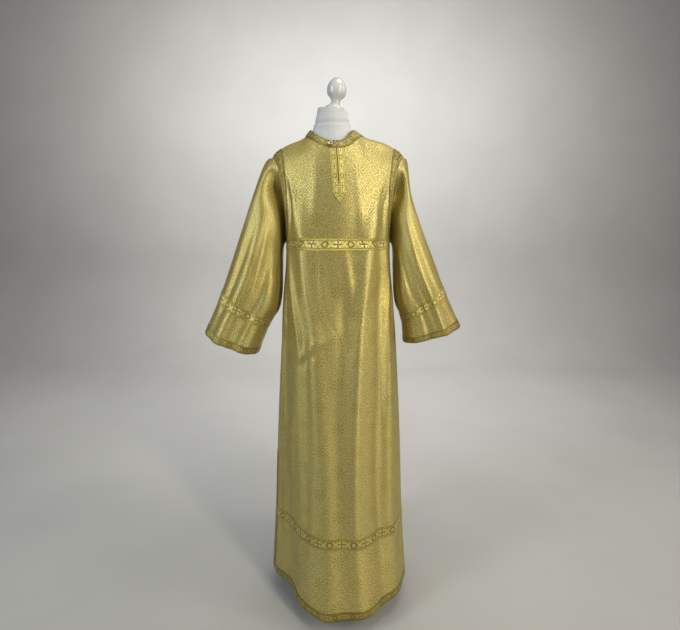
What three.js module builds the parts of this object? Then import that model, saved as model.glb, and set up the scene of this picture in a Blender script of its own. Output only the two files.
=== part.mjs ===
// A sticharion, the long T-shaped brocade vestment, standing on its limbless dress form.
// Millimetres, +Z up, the front faces -Y and the origin is on the floor under the form's pole.
import * as THREE from "three";

// Driving dimensions
const CLOTH = 2; // wall of the brocade
const BRAID = 1; // wall of the galloon, the woven braid
const SEAM = 0.15; // half of the clearance at a seam
const LIFT = 0.4; // clearance between a braid and the panel that it lies on
const CHEST_Z = 1174; // seam between yoke and skirt, level with the underarm
const HEM_Z = 60;
const SLIT_Z = 490; // top of the side slits
const WIDE = 35; // galloon of the chest, sleeve and hem bands
const NARROW = 21; // galloon of the edges
const TIP_X = 193; // shoulder tip
const ARM_DEPTH = 52; // half depth of the armhole
const NECK_X = 62; // side of the neck hole
const NECK_LEAN = -17; // the neck hole sits to one side of the placket
const PLACKET_OPEN_Z = 1335; // end of the placket's slit
const PLACKET_START = 0.04; // its braid starts this share of a row below the neck's
const FORM_GAP = 0.6; // the form's shoulders under the cloth
const NECK_TOP = { z: 1545, x: 43, y: 43, slope: -0.12, middle: -15 };
const TIP_Z = 1418; // height of the shoulder tip

const HALF_PI = Math.PI / 2;
const lerp = (a, b, t) => a + (b - a) * t;
const smooth = (t) => {
  const c = Math.min(Math.max(t, 0), 1);
  return c * c * (3 - 2 * c);
};

// Reads a table at a key: rows of numbers, first column the key, with a smooth curve through the others.
function readTable(rows, key) {
  const last = rows.length - 1;
  const up = rows[last][0] > rows[0][0] ? 1 : -1;
  let i = 0;
  while (i < last - 1 && (key - rows[i + 1][0]) * up > 0) i++;
  const [p0, p1, p2, p3] = [rows[Math.max(i - 1, 0)], rows[i], rows[i + 1], rows[Math.min(i + 2, last)]];
  const span = p2[0] - p1[0];
  const t = Math.min(Math.max((key - p1[0]) / span, 0), 1);
  return p1.slice(1).map((_, k) => {
    const c = k + 1;
    const m1 = p2 === p0 || p1 === p0 ? p2[c] - p1[c] : ((p2[c] - p0[c]) / (p2[0] - p0[0])) * span;
    const m2 = p3 === p2 ? p2[c] - p1[c] : ((p3[c] - p1[c]) / (p3[0] - p1[0])) * span;
    const [t2, t3] = [t * t, t * t * t];
    const ends = p1[c] + (3 * t2 - 2 * t3) * (p2[c] - p1[c]);
    return ends + (t3 - 2 * t2 + t) * m1 + (t3 - t2) * m2;
  });
}

// The body of the cloth by height: half width, depth to the front and depth to the back.
const BODY = [
  // z, half width, front, back
  [1174, 155, 115, 108],
  [1012, 165, 122, 114],
  [885, 177, 131, 122],
  [595, 197, 152, 143],
  [281, 213, 192, 168],
  [60, 229, 247, 190],
];
const SQUARE = 0.035; // how far the ring bulges at its four shoulders under the chest, less below

// Folds of the body: each runs from u0 at z0 to u1 at z1, u being -1 and 1 at the side seams. It bows
// sideways on its way, and its height goes from the first to the last.
const FRONT_FOLDS = [
  // u0, z0, u1, z1, bow, half width in u, first height, last height
  [0.46, 1330, 0.23, 60, -0.15, 0.12, 14, 9],
  [-0.53, 1340, -0.10, 60, 0.11, 0.11, 10, 7],
  [0.66, 1250, 0.64, 60, -0.04, 0.09, 7, 5],
  [0.58, 1150, 0.44, 60, -0.06, 0.08, -9, -6],
  [0.10, 1080, 0.06, 60, -0.04, 0.09, -9, -4],
  [-0.36, 1050, -0.30, 60, 0, 0.09, -7, -4],
  [-0.66, 1010, -0.62, 60, 0, 0.25, -4, -44],
  [-0.84, 1150, -0.86, 60, 0, 0.07, 5, 6],
  [0.86, 1150, 0.86, 60, 0, 0.07, 5, 4],
];
const BACK_FOLDS = [
  [0.08, 1300, 0.04, 60, 0.05, 0.11, 13, 10],
  [-0.40, 1280, -0.36, 60, 0.06, 0.11, 12, 11],
  [0.46, 1290, 0.36, 60, -0.04, 0.11, 13, 10],
  [-0.16, 1150, -0.18, 60, 0, 0.09, -11, -10],
  [0.26, 1120, 0.20, 60, 0, 0.09, -11, -9],
  [0.70, 1120, 0.70, 60, 0, 0.1, 8, 9],
  [-0.70, 1120, -0.68, 60, 0, 0.09, 8, 8],
];
const FOLD_TOP = 140; // length over which a fold fades in
const SEAM_FROM = 0.9; // folds fade out from here to the side seams

function foldHeight(folds, u, z) {
  let sum = 0;
  for (const [u0, z0, u1, z1, bow, width, first, last] of folds) {
    const along = Math.min(Math.max((z0 - z) / (z0 - z1), 0), 1);
    const middle = lerp(u0, u1, along) + 4 * bow * along * (1 - along);
    const across = (u - middle) / width;
    sum += lerp(first, last, along) * smooth((z0 - z) / FOLD_TOP) * Math.exp(-across * across);
  }
  return sum * (1 - smooth((Math.abs(u) - SEAM_FROM) / (1 - SEAM_FROM)));
}

// A point of the skirt: side -1 is the front and 1 the back, u runs from seam to seam.
const NO_FOLDS_Z = 2000; // a level above all folds
function ringPoint(side, u, z, foldsZ = z) {
  const [halfWidth, front, back] = readTable(BODY, z);
  const angle = u * HALF_PI;
  const bulge = 1 + SQUARE * Math.sin(2 * angle) ** 2 * ((z - HEM_Z) / (CHEST_Z - HEM_Z));
  const fold = foldHeight(side < 0 ? FRONT_FOLDS : BACK_FOLDS, u, foldsZ);
  const depth = (side < 0 ? front : back) * bulge + fold;
  return new THREE.Vector3(
    (halfWidth * bulge + fold) * Math.sin(angle),
    side * depth * Math.cos(angle),
    z,
  );
}

// Shoulder ridge by share of the way from the centre to the shoulder tip.
const RIDGE = [
  // s, z
  [0, 1508],
  [0.32, 1494],
  [0.46, 1474],
  [0.73, 1456],
  [0.92, 1436],
  [1, TIP_Z],
];
const BACK_RISE = 8; // lifts the middle of the neck hole's back edge
const RISE_S = 0.32;
const ridgeZ = (side, s) =>
  readTable(RIDGE, s)[0] + (side > 0 ? BACK_RISE * Math.max(1 - (s / RISE_S) ** 2, 0) ** 2 : 0);
const S_TO_U = [0.764, 0.236]; // s is a little wider than u near the side
const ringShare = (s) => S_TO_U[0] * s + S_TO_U[1] * s ** 3;
const ARM_HOLLOW = 9; // how far the armhole's edge cuts in
const FULLNESS = 2.2; // how soon the yoke widens from the ridge to the chest's width
const FOLD_RISE = 1.4; // how soon its folds reach their height
const AT_CHEST = 0.999; // t from which a point lies on the chest ring itself
// The lean of the neck hole fades out from the first value, over the second one
const LEAN_S = [0.25, 0.4];
const LEAN_T = [0.15, 0.25];

// A point of the yoke: s from the centre to the armhole, t from the ridge down to the chest.
function yokePoint(side, hand, s, t, folded = true) {
  const u = ringShare(s);
  const ring = ringPoint(side, u * hand, CHEST_Z);
  const top = ridgeZ(side, s);
  const drop = Math.cos(t * HALF_PI) ** (1 + s * s);
  const z = CHEST_Z + (top - CHEST_Z) * drop;
  const wide = 1 - (1 - t) ** FULLNESS;
  const base = ringPoint(side, u * hand, CHEST_Z, NO_FOLDS_Z);
  const height = foldHeight(side < 0 ? FRONT_FOLDS : BACK_FOLDS, u * hand, z) * smooth(t * FOLD_RISE);
  const fold = folded ? height : 0;
  const angle = u * HALF_PI;
  const x = hand * (lerp(TIP_X * s, Math.abs(base.x), wide) - ARM_HOLLOW * s * s * Math.sin(Math.PI * t));
  const y = base.y * Math.sin(t * HALF_PI) + side * ARM_DEPTH * s ** 3 * Math.sin(Math.PI * t);
  if (t > AT_CHEST) return new THREE.Vector3(ring.x, ring.y, z);
  const fade = (value, [from, over]) => 1 - smooth((value - from) / over);
  const lean = NECK_LEAN * fade(s, LEAN_S) * fade(t, LEAN_T);
  return new THREE.Vector3(x + hand * fold * Math.sin(angle) + lean, y + side * fold * Math.cos(angle), z);
}

// Where a level z lies on the yoke at share s.
function yokeLevel(side, s, z) {
  const top = ridgeZ(side, s);
  const share = Math.min(Math.max((z - CHEST_Z) / (top - CHEST_Z), 0), 1);
  return Math.acos(share ** (1 / (1 + s * s))) / HALF_PI;
}

// ---- walls ----
const GRID = 200; // points that fall on the same 1/200 mm are one point
const key = (p) => p.toArray().map((v) => Math.round(v * GRID)).join();

// Joins faces of points into shared points and triangles.
function weld(faces) {
  const index = new Map();
  const points = [];
  const triangles = [];
  const idOf = (p) => {
    const k = key(p);
    if (!index.has(k)) {
      index.set(k, points.length);
      points.push(p);
    }
    return index.get(k);
  };
  for (const face of faces) {
    const [a, b, c, d] = face.map(idOf);
    for (const t of [[a, b, c], [a, c, d]])
      if (t[0] !== t[1] && t[1] !== t[2] && t[0] !== t[2]) triangles.push(t);
  }
  return { points, triangles };
}

// Outward directions at the points of a panel. square(p) gives the directions that they keep clear of
// at p, so that seams meet square.
function directions(faces, square = () => []) {
  const { points, triangles } = weld(faces);
  const normals = points.map(() => new THREE.Vector3());
  for (const t of triangles) {
    const [a, b, c] = t.map((i) => points[i]);
    const n = b.clone().sub(a).cross(c.clone().sub(a));
    t.forEach((i) => normals[i].add(n));
  }
  const found = new Map();
  normals.forEach((n, i) => {
    for (const axis of square(points[i])) n.addScaledVector(axis, -n.dot(axis));
    found.set(key(points[i]), n.normalize());
  });
  return found;
}

// A wall between two distances from the points of its faces, with every free edge closed.
function wallGeometry(faces, low, high, normals) {
  const { points, triangles } = weld(faces);
  const own = directions(faces);
  const normalOf = (p) => normals.get(key(p)) ?? own.get(key(p));
  const outer = points.map((p) => p.clone().addScaledVector(normalOf(p), high));
  const inner = points.map((p) => p.clone().addScaledVector(normalOf(p), low));
  const count = points.length;
  const all = triangles.flat();
  const edges = new Set(triangles.flatMap(([a, b, c]) => [`${a},${b}`, `${b},${c}`, `${c},${a}`]));
  for (const [a, b, c] of triangles) all.push(a + count, c + count, b + count);
  for (const edge of edges) {
    const [a, b] = edge.split(",").map(Number);
    if (edges.has(`${b},${a}`)) continue;
    all.push(b, a, a + count, b, a + count, b + count);
  }
  const geometry = new THREE.BufferGeometry();
  const flat = [...outer, ...inner].flatMap((p) => p.toArray());
  geometry.setAttribute("position", new THREE.Float32BufferAttribute(flat, 3));
  geometry.setIndex(all);
  geometry.computeVertexNormals();
  return geometry;
}

// Quads of a grid of rows; flip turns the faces round.
function quads(rows, flip = false) {
  const faces = [];
  for (let r = 0; r + 1 < rows.length; r++)
    for (let c = 0; c + 1 < rows[r].length; c++) {
      const quad = [rows[r][c], rows[r + 1][c], rows[r + 1][c + 1], rows[r][c + 1]];
      faces.push(flip ? quad.reverse() : quad);
    }
  return faces;
}

const X = new THREE.Vector3(1, 0, 0);
const Y = new THREE.Vector3(0, 1, 0);
const Z = new THREE.Vector3(0, 0, 1);

// ---- yoke ----
const CHEST_COLUMNS = { front: 18, back: 13 }; // from the centre to the side
const ARM_COLUMNS = 11;
const YOKE_SHARES = [0.2, 0.42, 0.63, 0.82]; // rows between the neck braid and the edge braids
const PLACKET_COLUMNS = 2; // columns under one braid of the placket
const PLACKET_S = 0.106; // width of that braid as a share of the shoulder

// The neck hole and the outer edge of its braid, as s at the ridge and t at the centre.
const NECK_EDGE = { s: NECK_X / TIP_X, front: 0.355, back: 0.3 };
const NECK_BRAID = { s: (NECK_X + NARROW + 1) / TIP_X, front: 0.418, back: 0.365 };
const BRAID_SPAN = 150; // cloth from the centre to the armhole
const INSIDE_S = 1 - NARROW / BRAID_SPAN; // inner edge of the armhole's braid
const BRAID_REACH = 0.84; // share of the way to the armhole's seam that its braid covers

// The way of one column over the yoke, as pairs of s and t, from the neck to the edge.
function yokePath(side, chest, arm, c) {
  const columns = chest + arm;
  const name = side < 0 ? "front" : "back";
  const straight = (PLACKET_S * c) / PLACKET_COLUMNS;
  const spread = (to) => (c - PLACKET_COLUMNS) / (to - PLACKET_COLUMNS);
  const at = (ring) => {
    const start = Math.asin(PLACKET_S / ring.s);
    const turn = c < PLACKET_COLUMNS ? Math.asin(straight / ring.s) : lerp(start, HALF_PI, spread(columns));
    return [ring.s * Math.sin(turn), ring[name] * Math.cos(turn)];
  };
  const [neck, trim] = [at(NECK_EDGE), at(NECK_BRAID)];
  const onChest = c <= chest;
  const s = c < PLACKET_COLUMNS ? straight : Math.min(lerp(PLACKET_S, 1, spread(chest)), 1);
  const rise = (columns - c) / arm;
  const height = onChest ? 0 : Math.cos(rise * HALF_PI) ** 2;
  const insideZ = lerp(CHEST_Z + WIDE / 2, ridgeZ(side, INSIDE_S), height);
  const inside = [s * INSIDE_S, c === columns ? 0 : yokeLevel(side, s * INSIDE_S, insideZ)];
  const path = [neck, trim];
  for (const f of YOKE_SHARES) path.push([0, 1].map((i) => lerp(trim[i], inside[i], f)));
  const edge = [s, onChest ? 1 : rise];
  const clear = inside.map((v, i) => lerp(v, edge[i], BRAID_REACH));
  return [...path, inside, clear, edge];
}

// One quarter of the yoke: rows from the neck to the edge, columns from the centre to the ridge.
function yokeQuarter(side, hand) {
  const chest = side < 0 ? CHEST_COLUMNS.front : CHEST_COLUMNS.back;
  const columns = chest + ARM_COLUMNS;
  const rows = [];
  for (let c = 0; c <= columns; c++)
    yokePath(side, chest, ARM_COLUMNS, c).forEach(([s, t], r, path) => {
      const p = yokePoint(side, hand, s, t);
      const isEdge = r === path.length - 1;
      if (c === columns || (isEdge && c === chest)) p.y = side * SEAM;
      if (isEdge && c <= chest) p.z += SEAM;
      (rows[r] ??= []).push(p);
    });
  return { rows, chest, columns };
}

const quarters = {};
for (const [sideName, side] of [["front", -1], ["back", 1]])
  for (const [handName, hand] of [["left", -1], ["right", 1]])
    quarters[`${sideName}_${handName}`] = { side, hand, ...yokeQuarter(side, hand) };

// The slit of the placket opens the centre column a little.
const SLIT_HALF = 1.4;
function openSlit(quarter) {
  for (const row of quarter.rows) {
    const p = row[0];
    if (p.z > PLACKET_OPEN_Z) p.x += quarter.hand * SLIT_HALF;
  }
}
openSlit(quarters.front_left);
openSlit(quarters.front_right);

const near = (a, b, within = 0.3) => Math.abs(a - b) < within;
function yokeSquare(p) {
  const axes = [];
  if (near(p.z, CHEST_Z + SEAM)) axes.push(Z);
  if (near(Math.abs(p.y), SEAM, 0.02)) axes.push(Y);
  if (armKeys.has(key(p))) axes.push(X);
  return axes;
}
const armKeys = new Set();
for (const q of Object.values(quarters))
  for (let c = q.chest; c <= q.columns; c++) armKeys.add(key(q.rows.at(-1)[c]));

const isFlipped = (q) => q.side * q.hand > 0;

// ---- skirt ----
const HEM_BAND_Z = 281; // middle of the band above the hem
const SKIRT_LEVELS = [
  CHEST_Z - SEAM, CHEST_Z - WIDE / 2, 1075, 985, 895, 800, 700, 590, SLIT_Z,
  395, HEM_BAND_Z + WIDE / 2, HEM_BAND_Z - WIDE / 2, 195, 135, HEM_Z + NARROW + 2, HEM_Z,
];
const SLIT_ROW = SKIRT_LEVELS.indexOf(SLIT_Z);
const BAND_ROW = SKIRT_LEVELS.indexOf(HEM_BAND_Z + WIDE / 2);
const HEM_ROW = SKIRT_LEVELS.length - 1;
const SLIT_OPEN = 0.022; // share of the quarter that each panel draws back at the hem
const SLIT_BRAID = 0.075; // share of the quarter under the slit's braid
const SLIT_BRAID_TOP = 200; // length over which the last column moves to that braid's edge

function skirtRows(side, hand) {
  const chest = side < 0 ? CHEST_COLUMNS.front : CHEST_COLUMNS.back;
  return SKIRT_LEVELS.map((z) => {
    const open = SLIT_OPEN * smooth((SLIT_Z - z) / (SLIT_Z - HEM_Z));
    const row = [];
    for (let c = 0; c <= chest; c++) {
      let u = ringShare(yokePath(side, chest, ARM_COLUMNS, c).at(-1)[0]);
      if (c === chest - 1) u = lerp(u, 1 - SLIT_BRAID, smooth((SKIRT_LEVELS[1] - z) / SLIT_BRAID_TOP));
      const p = ringPoint(side, hand * u * (1 - open), z);
      if (c === chest) p.y = side * Math.max(SEAM, side * p.y);
      row.push(p);
    }
    return row;
  });
}
const skirtSquare = (p) => {
  const axes = [];
  if (near(p.z, CHEST_Z - SEAM)) axes.push(Z);
  if (Math.abs(p.y) < 1) axes.push(Y);
  return axes;
};
const skirts = {};
for (const q of Object.keys(quarters)) {
  const { side, hand } = quarters[q];
  skirts[q] = { side, hand, rows: skirtRows(side, hand) };
}

// ---- sleeves ----
// Each sleeve hangs from its armhole: outer and inner edge by share of its length, and its depths.
const SLEEVES = {
  left: [
    // v, outer x, outer z, inner x, inner z, front, back
    [0, 193, 1418, 155, 1174, 52, 52],
    [0.08, 216, 1398, 163, 1146, 47, 50],
    [0.2, 244, 1332, 168, 1100, 62, 56],
    [0.4, 287, 1216, 171, 1032, 76, 62],
    [0.6, 327, 1105, 182, 972, 82, 64],
    [0.78, 363, 1012, 212, 925, 84, 64],
    [1, 412, 905, 252, 832, 94, 64],
  ],
  right: [
    [0, 193, 1418, 155, 1174, 52, 52],
    [0.08, 203, 1386, 162, 1146, 47, 50],
    [0.2, 217, 1316, 167, 1100, 60, 56],
    [0.4, 252, 1218, 170, 1040, 72, 62],
    [0.6, 293, 1116, 177, 988, 78, 64],
    [0.78, 328, 1030, 196, 942, 78, 64],
    [1, 380, 921, 206, 866, 74, 62],
  ],
};
// Folds of a sleeve: they fan out from the underarm; turn is the angle from the outer edge, in degrees.
const SLEEVE_FOLDS = [
  // v0, turn0, v1, turn1, half width in degrees, height in mm
  [0.12, 40, 1, 30, 13, 6],
  [0.1, 78, 1, 66, 12, 9],
  [0.15, 112, 1, 100, 11, -8],
  [0.3, 135, 0.95, 130, 11, 8],
  [0.1, 250, 1, 262, 13, 9],
  [0.12, 295, 1, 305, 13, -7],
  [0.1, 330, 1, 335, 12, 6],
];
const SLEEVE_V = [0, 0.07, 0.15, 0.24, 0.34, 0.44, 0.54, 0.64, 0.735, 0.805, 0.88, 0.955, 1];
const BAND_V = [8, 9]; // rows that the sleeve band runs between
const CUFF_V = [11, 12];
const SLEEVE_START = 0.8; // clearance between yoke and sleeve
const SLEEVE_BELOW = 1.2; // more at the underarm, where the chest band passes
const BELOW_HEIGHT = 15; // height over which that grows
const SLEEVE_HEAD = 0.2; // share of the sleeve that passes from the armhole's shape to its own
const HEAD_FALL = 120; // how far the head is carried out for a whole sleeve's length
const FOLD_HEAD = 0.15; // share of the sleeve over which its folds grow
const MEAN_RADIUS = 90; // of a sleeve, for the height of its folds
const FOLD_WIDEN = 0.4; // share of a fold's height that shows at the outer and inner edges

function sleeveFold(v, turn) {
  let sum = 0;
  for (const [v0, turn0, v1, turn1, width, height] of SLEEVE_FOLDS) {
    const along = (v - v0) / (v1 - v0);
    const away = ((turn - lerp(turn0, turn1, along) + 540) % 360) - 180;
    sum += height * smooth(along * 3) * Math.exp(-((away / width) ** 2));
  }
  return sum;
}

// The first ring repeats the armhole's own points, so its angles come from there.
function armholeRing(handName) {
  const front = quarters[`front_${handName}`];
  const back = quarters[`back_${handName}`];
  const edgeOf = (q) => q.rows.at(-1).slice(q.chest);
  const down = edgeOf(front).reverse();
  const up = edgeOf(back).slice(1, -1);
  return [...down, ...up].map((p) => p.clone());
}

function sleeveRows(handName) {
  const hand = handName === "left" ? -1 : 1;
  const ring = armholeRing(handName);
  const angles = ring.map((p, i) => {
    const mid = (TIP_Z + CHEST_Z) / 2;
    const turn = Math.acos(Math.min(Math.max((p.z - mid) / (TIP_Z - mid), -1), 1));
    return i < ARM_COLUMNS ? turn : i === ARM_COLUMNS ? Math.PI : 2 * Math.PI - turn;
  });
  return SLEEVE_V.map((v) => {
    const [ox, oz, ix, iz, front, back] = readTable(SLEEVES[handName], v);
    return ring.map((p, i) => {
      if (v === 0) {
        const below = SLEEVE_BELOW * smooth((CHEST_Z + BELOW_HEIGHT - p.z) / BELOW_HEIGHT);
        return p.clone().setX(p.x + hand * (SLEEVE_START + below));
      }
      const turn = angles[i];
      const [cos, sin] = [Math.cos(turn), Math.sin(turn)];
      const fold = sleeveFold(v, (turn * 180) / Math.PI) * smooth(v / FOLD_HEAD);
      const reach = 1 + fold / MEAN_RADIUS;
      const depth = sin > 0 ? front : back;
      const hold = smooth(v / SLEEVE_HEAD);
      const own = new THREE.Vector3(
        hand * ((ox + ix) / 2 + ((ox - ix) / 2) * cos * lerp(1, reach, FOLD_WIDEN)),
        -depth * sin * reach,
        (oz + iz) / 2 + ((oz - iz) / 2) * cos,
      );
      const carried = p.clone().setX(p.x + hand * (SLEEVE_START + HEAD_FALL * v));
      return carried.lerp(own, hold);
    });
  });
}
const sleeves = { left: sleeveRows("left"), right: sleeveRows("right") };
const closed = (rows) => rows.map((row) => [...row, row[0]]);
const sleeveFaces = (handName, from, to) =>
  quads(closed(sleeves[handName].slice(from, to + 1)), handName === "right");
const sleeveKeys = new Set(Object.values(sleeves).flatMap((rows) => rows[0].map(key)));
const sleeveSquare = (p) => (sleeveKeys.has(key(p)) ? [X] : []);

// ---- dress form ----
const FORM = [
  // z, half width, front, back
  [1174, 142, 99, 93],
  [1110, 131, 93, 88],
  [1050, 124, 88, 84],
  [985, 130, 92, 92],
  [915, 144, 99, 103],
  [850, 149, 103, 108],
  [805, 145, 99, 103],
  [780, 132, 88, 92],
];
const FORM_LEVELS = [1130, 1085, 1040, 990, 940, 880, 830, 800, 780];
const NECK_PINCH = 0.05; // how far the neck narrows in its middle
const NECK_EASE = 3; // how far the neck stays inside the neck hole
const FORM_EASE = 11; // how far the form draws away from the cloth below its shoulders
const EASE_T = 0.45; // t at which it has drawn away that far
const ARM_CUT = 16; // the form's arms end this far inside the shoulder tips
const ARM_CUT_LOW = 25; // more than that below
const RIDGE_T = 0.01; // points nearer to the ridge than this lie on it
const NECK_ROWS = [0.25, 0.5, 0.78]; // rows from the top of the neck to the neck hole

function formPoint(side, hand, s, t, more = 0) {
  const step = 1e-3;
  const at = (ds, dt) => {
    const [nearS, nearT] = [Math.min(Math.max(s + ds, 0), 1), Math.min(Math.max(t + dt, 0), 0.998)];
    return yokePoint(side, hand, nearS, nearT, false);
  };
  const p = at(0, 0);
  const alongS = at(step, 0).sub(at(-step, 0));
  const alongT = at(0, step).sub(at(0, -step));
  const normal = alongS.cross(alongT).normalize();
  if (normal.y * side < 0) normal.negate();
  if (t < RIDGE_T) normal.setY(0).setZ(Math.abs(normal.z)).normalize();
  const ease = CLOTH + FORM_GAP + more + FORM_EASE * smooth(t / EASE_T);
  p.addScaledVector(normal, -ease);
  p.x = hand * Math.min(hand * p.x, TIP_X - ARM_CUT - ARM_CUT_LOW * smooth(t * 1.5));
  if (t < RIDGE_T) p.y = 0;
  return p;
}

const FORM_CHEST_COLUMNS = 7;
const FORM_ARM_COLUMNS = 4;
function formQuarter(side, hand) {
  const columns = FORM_CHEST_COLUMNS + FORM_ARM_COLUMNS;
  const rows = [];
  for (let c = 0; c <= columns; c++) {
    const turn = (c / columns) * HALF_PI;
    const [neck, ...path] = yokePath(side, FORM_CHEST_COLUMNS, FORM_ARM_COLUMNS, c).slice(0, -2);
    const column = [];
    const crown = new THREE.Vector3(
      NECK_TOP.middle + hand * NECK_TOP.x * Math.sin(turn),
      side * NECK_TOP.y * Math.cos(turn),
      NECK_TOP.z,
    );
    crown.z += NECK_TOP.slope * crown.x;
    const own = c === 0 ? 1 : hand; // both hands share the centre column
    const base = formPoint(side, own, ...neck, NECK_EASE);
    const middle = NECK_TOP.middle;
    column.push(crown.clone().setX(middle).setY(0).setZ(NECK_TOP.z + NECK_TOP.slope * middle), crown);
    for (const f of NECK_ROWS) {
      const p = crown.clone().lerp(base, f);
      const pinch = 1 - NECK_PINCH * Math.sin(Math.PI * f);
      column.push(p.setX(middle + (p.x - middle) * pinch).setY(p.y * pinch));
    }
    column.push(base, ...path.map(([s, t]) => formPoint(side, own, s, t)));
    column.forEach((p, r) => {
      if (c === columns) p.y = 0;
      (rows[r] ??= []).push(p);
    });
  }
  return rows;
}

function formFaces() {
  const faces = [];
  for (const hand of [-1, 1]) {
    const both = [-1, 1].map((side) => formQuarter(side, hand));
    const [frontArm, backArm] = both.map((rows) => rows.at(-1).slice(FORM_CHEST_COLUMNS));
    const middle = frontArm.map((p, i) => p.clone().add(backArm[i]).multiplyScalar(0.5).setY(0));
    for (const [side, rows] of [[-1, both[0]], [1, both[1]]]) {
      const flip = side * hand > 0;
      faces.push(...quads(rows, flip));
      const chestEdge = rows.at(-1).slice(0, FORM_CHEST_COLUMNS + 1);
      const lower = [chestEdge];
      for (const z of FORM_LEVELS) {
        const [width, front, back] = readTable(FORM, z);
        lower.push(chestEdge.map((_, c) => {
          const [share] = yokePath(side, FORM_CHEST_COLUMNS, FORM_ARM_COLUMNS, c).at(-1);
          const angle = ringShare(share) * HALF_PI;
          const sideways = c === FORM_CHEST_COLUMNS ? 1 : Math.sin(angle);
          const ahead = c === FORM_CHEST_COLUMNS ? 0 : Math.cos(angle);
          return new THREE.Vector3(hand * width * sideways, side * (side < 0 ? front : back) * ahead, z);
        }));
      }
      lower.push(lower.at(-1).map((p) => new THREE.Vector3(0, 0, p.z)));
      faces.push(...quads(lower, flip));
      const armEdge = rows.at(-1).slice(FORM_CHEST_COLUMNS);
      faces.push(...quads([armEdge, middle], flip));
      const corner = armEdge[0];
      const below = lower[1][FORM_CHEST_COLUMNS];
      faces.push(flip
        ? [corner, middle[0], below, below]
        : [corner, below, middle[0], middle[0]]);
    }
  }
  return faces;
}

// A closed body from its faces alone.
function bodyGeometry(faces) {
  const { points, triangles } = weld(faces);
  const geometry = new THREE.BufferGeometry();
  const flat = points.flatMap((p) => p.toArray());
  geometry.setAttribute("position", new THREE.Float32BufferAttribute(flat, 3));
  geometry.setIndex(triangles.flat());
  geometry.computeVertexNormals();
  return geometry;
}

// A turned body: radius and height pairs from the bottom of its axis to the top.
function turned(profile, segments) {
  const geometry = new THREE.LatheGeometry(profile.map(([r, z]) => new THREE.Vector2(r, z)), segments);
  geometry.rotateX(HALF_PI);
  return geometry;
}

// ---- the scene graph ----
const brocade = { color: 0xb9a564, roughness: 0.5, metalness: 0.45 };
const galloon = { color: 0xcdb24e, roughness: 0.42, metalness: 0.55 };
const jersey = { color: 0xe9e9e6, roughness: 0.85, metalness: 0 };
const paint = { color: 0xf2f1ee, roughness: 0.3, metalness: 0 };
const steel = { color: 0x3c3c3e, roughness: 0.4, metalness: 0.6 };
const gilt = { color: 0xd0a53a, roughness: 0.25, metalness: 0.9 };

const root = new THREE.Group();
function add(name, geometry, look) {
  const mesh = new THREE.Mesh(geometry, new THREE.MeshStandardMaterial(look));
  mesh.name = name;
  root.add(mesh);
  return mesh;
}

// Cloth is thickened inwards from its points; galloon lies outside the points of the panel under it
const cloth = (name, faces, normals) => add(name, wallGeometry(faces, -CLOTH, 0, normals), brocade);
const braid = (name, faces, normals) => add(name, wallGeometry(faces, LIFT, LIFT + BRAID, normals), galloon);
const hands = ["left", "right"];

// Draws the end of each row back a little, so that a strip stops short of its neighbour
const BAND_GAP = 0.08;
const shorten = (rows, by) =>
  rows.map((row) => [...row.slice(0, -1), row.at(-1).clone().lerp(row.at(-2), by)]);

const allNormals = new Map();
for (const side of ["front", "back"]) {
  const names = hands.map((hand) => `${side}_${hand}`);
  const flip = (name) => isFlipped(quarters[name]);
  const strips = (pick) => names.flatMap((name) => quads(pick(name), flip(name)));
  const yokeFaces = strips((name) => quarters[name].rows);
  const yokeNormals = directions(yokeFaces, yokeSquare);
  const skirtFaces = strips((name) => skirts[name].rows);
  const skirtNormals = directions(skirtFaces, skirtSquare);
  const normals = new Map([...yokeNormals, ...skirtNormals]);
  const columns = quarters[names[0]].chest;

  // The panels: the front yoke is open along the placket, the skirt along the side slits
  cloth(`yoke_${side}`, yokeFaces, yokeNormals);
  cloth(`skirt_${side}`, skirtFaces, skirtNormals);

  braid(`hem_trim_${side}`, strips((name) => skirts[name].rows.slice(HEM_ROW - 1)), skirtNormals);
  braid(`hem_band_${side}`, strips((name) => {
    const rows = skirts[name].rows.slice(BAND_ROW, BAND_ROW + 2);
    return shorten(rows.map((row) => row.slice(0, columns)), BAND_GAP);
  }), skirtNormals);

  // The chest band covers the seam between yoke and skirt
  braid(`chest_band_${side}`, strips((name) => {
    const [above, middle, edge] = quarters[name].rows.slice(-3).map((row) => row.slice(0, columns + 1));
    const seam = edge.map((p) => p.clone().setZ(CHEST_Z));
    return [above, middle, seam, skirts[name].rows[1]];
  }), normals);

  yokeNormals.forEach((n, k) => allNormals.set(k, n));
  for (const name of names) {
    // Braid along the side slit, from its top down to the hem's braid
    const strip = skirts[name].rows.slice(SLIT_ROW, HEM_ROW).map((row) => row.slice(-2));
    strip.push(strip.pop().map((p, c) => p.clone().lerp(strip.at(-1)[c], 0.03)));
    braid(`slit_trim_${name}`, quads(strip, flip(name)), skirtNormals);
  }
}

// Braid over both yokes is one strip: its rows close up at the shoulder seam
const overShoulder = (row) => [...row.slice(0, -1), row.at(-1).clone().setY(0)];
const overYoke = (names, pick) => names.flatMap((name) => {
  const q = quarters[name];
  return quads(pick(q).map(overShoulder), isFlipped(q));
});

// Round the neck, open at the placket's slit
braid("neck_trim", overYoke(Object.keys(quarters), (q) => q.rows.slice(0, 2)), allNormals);

// Round each armhole, from the chest band up, over the shoulder and down again, clear of the sleeve
for (const hand of hands)
  braid(`armhole_trim_${hand}`, overYoke([`front_${hand}`, `back_${hand}`], (q) =>
    q.rows.slice(-3, -1).map((row) => row.slice(q.chest + 1))), allNormals);

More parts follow.
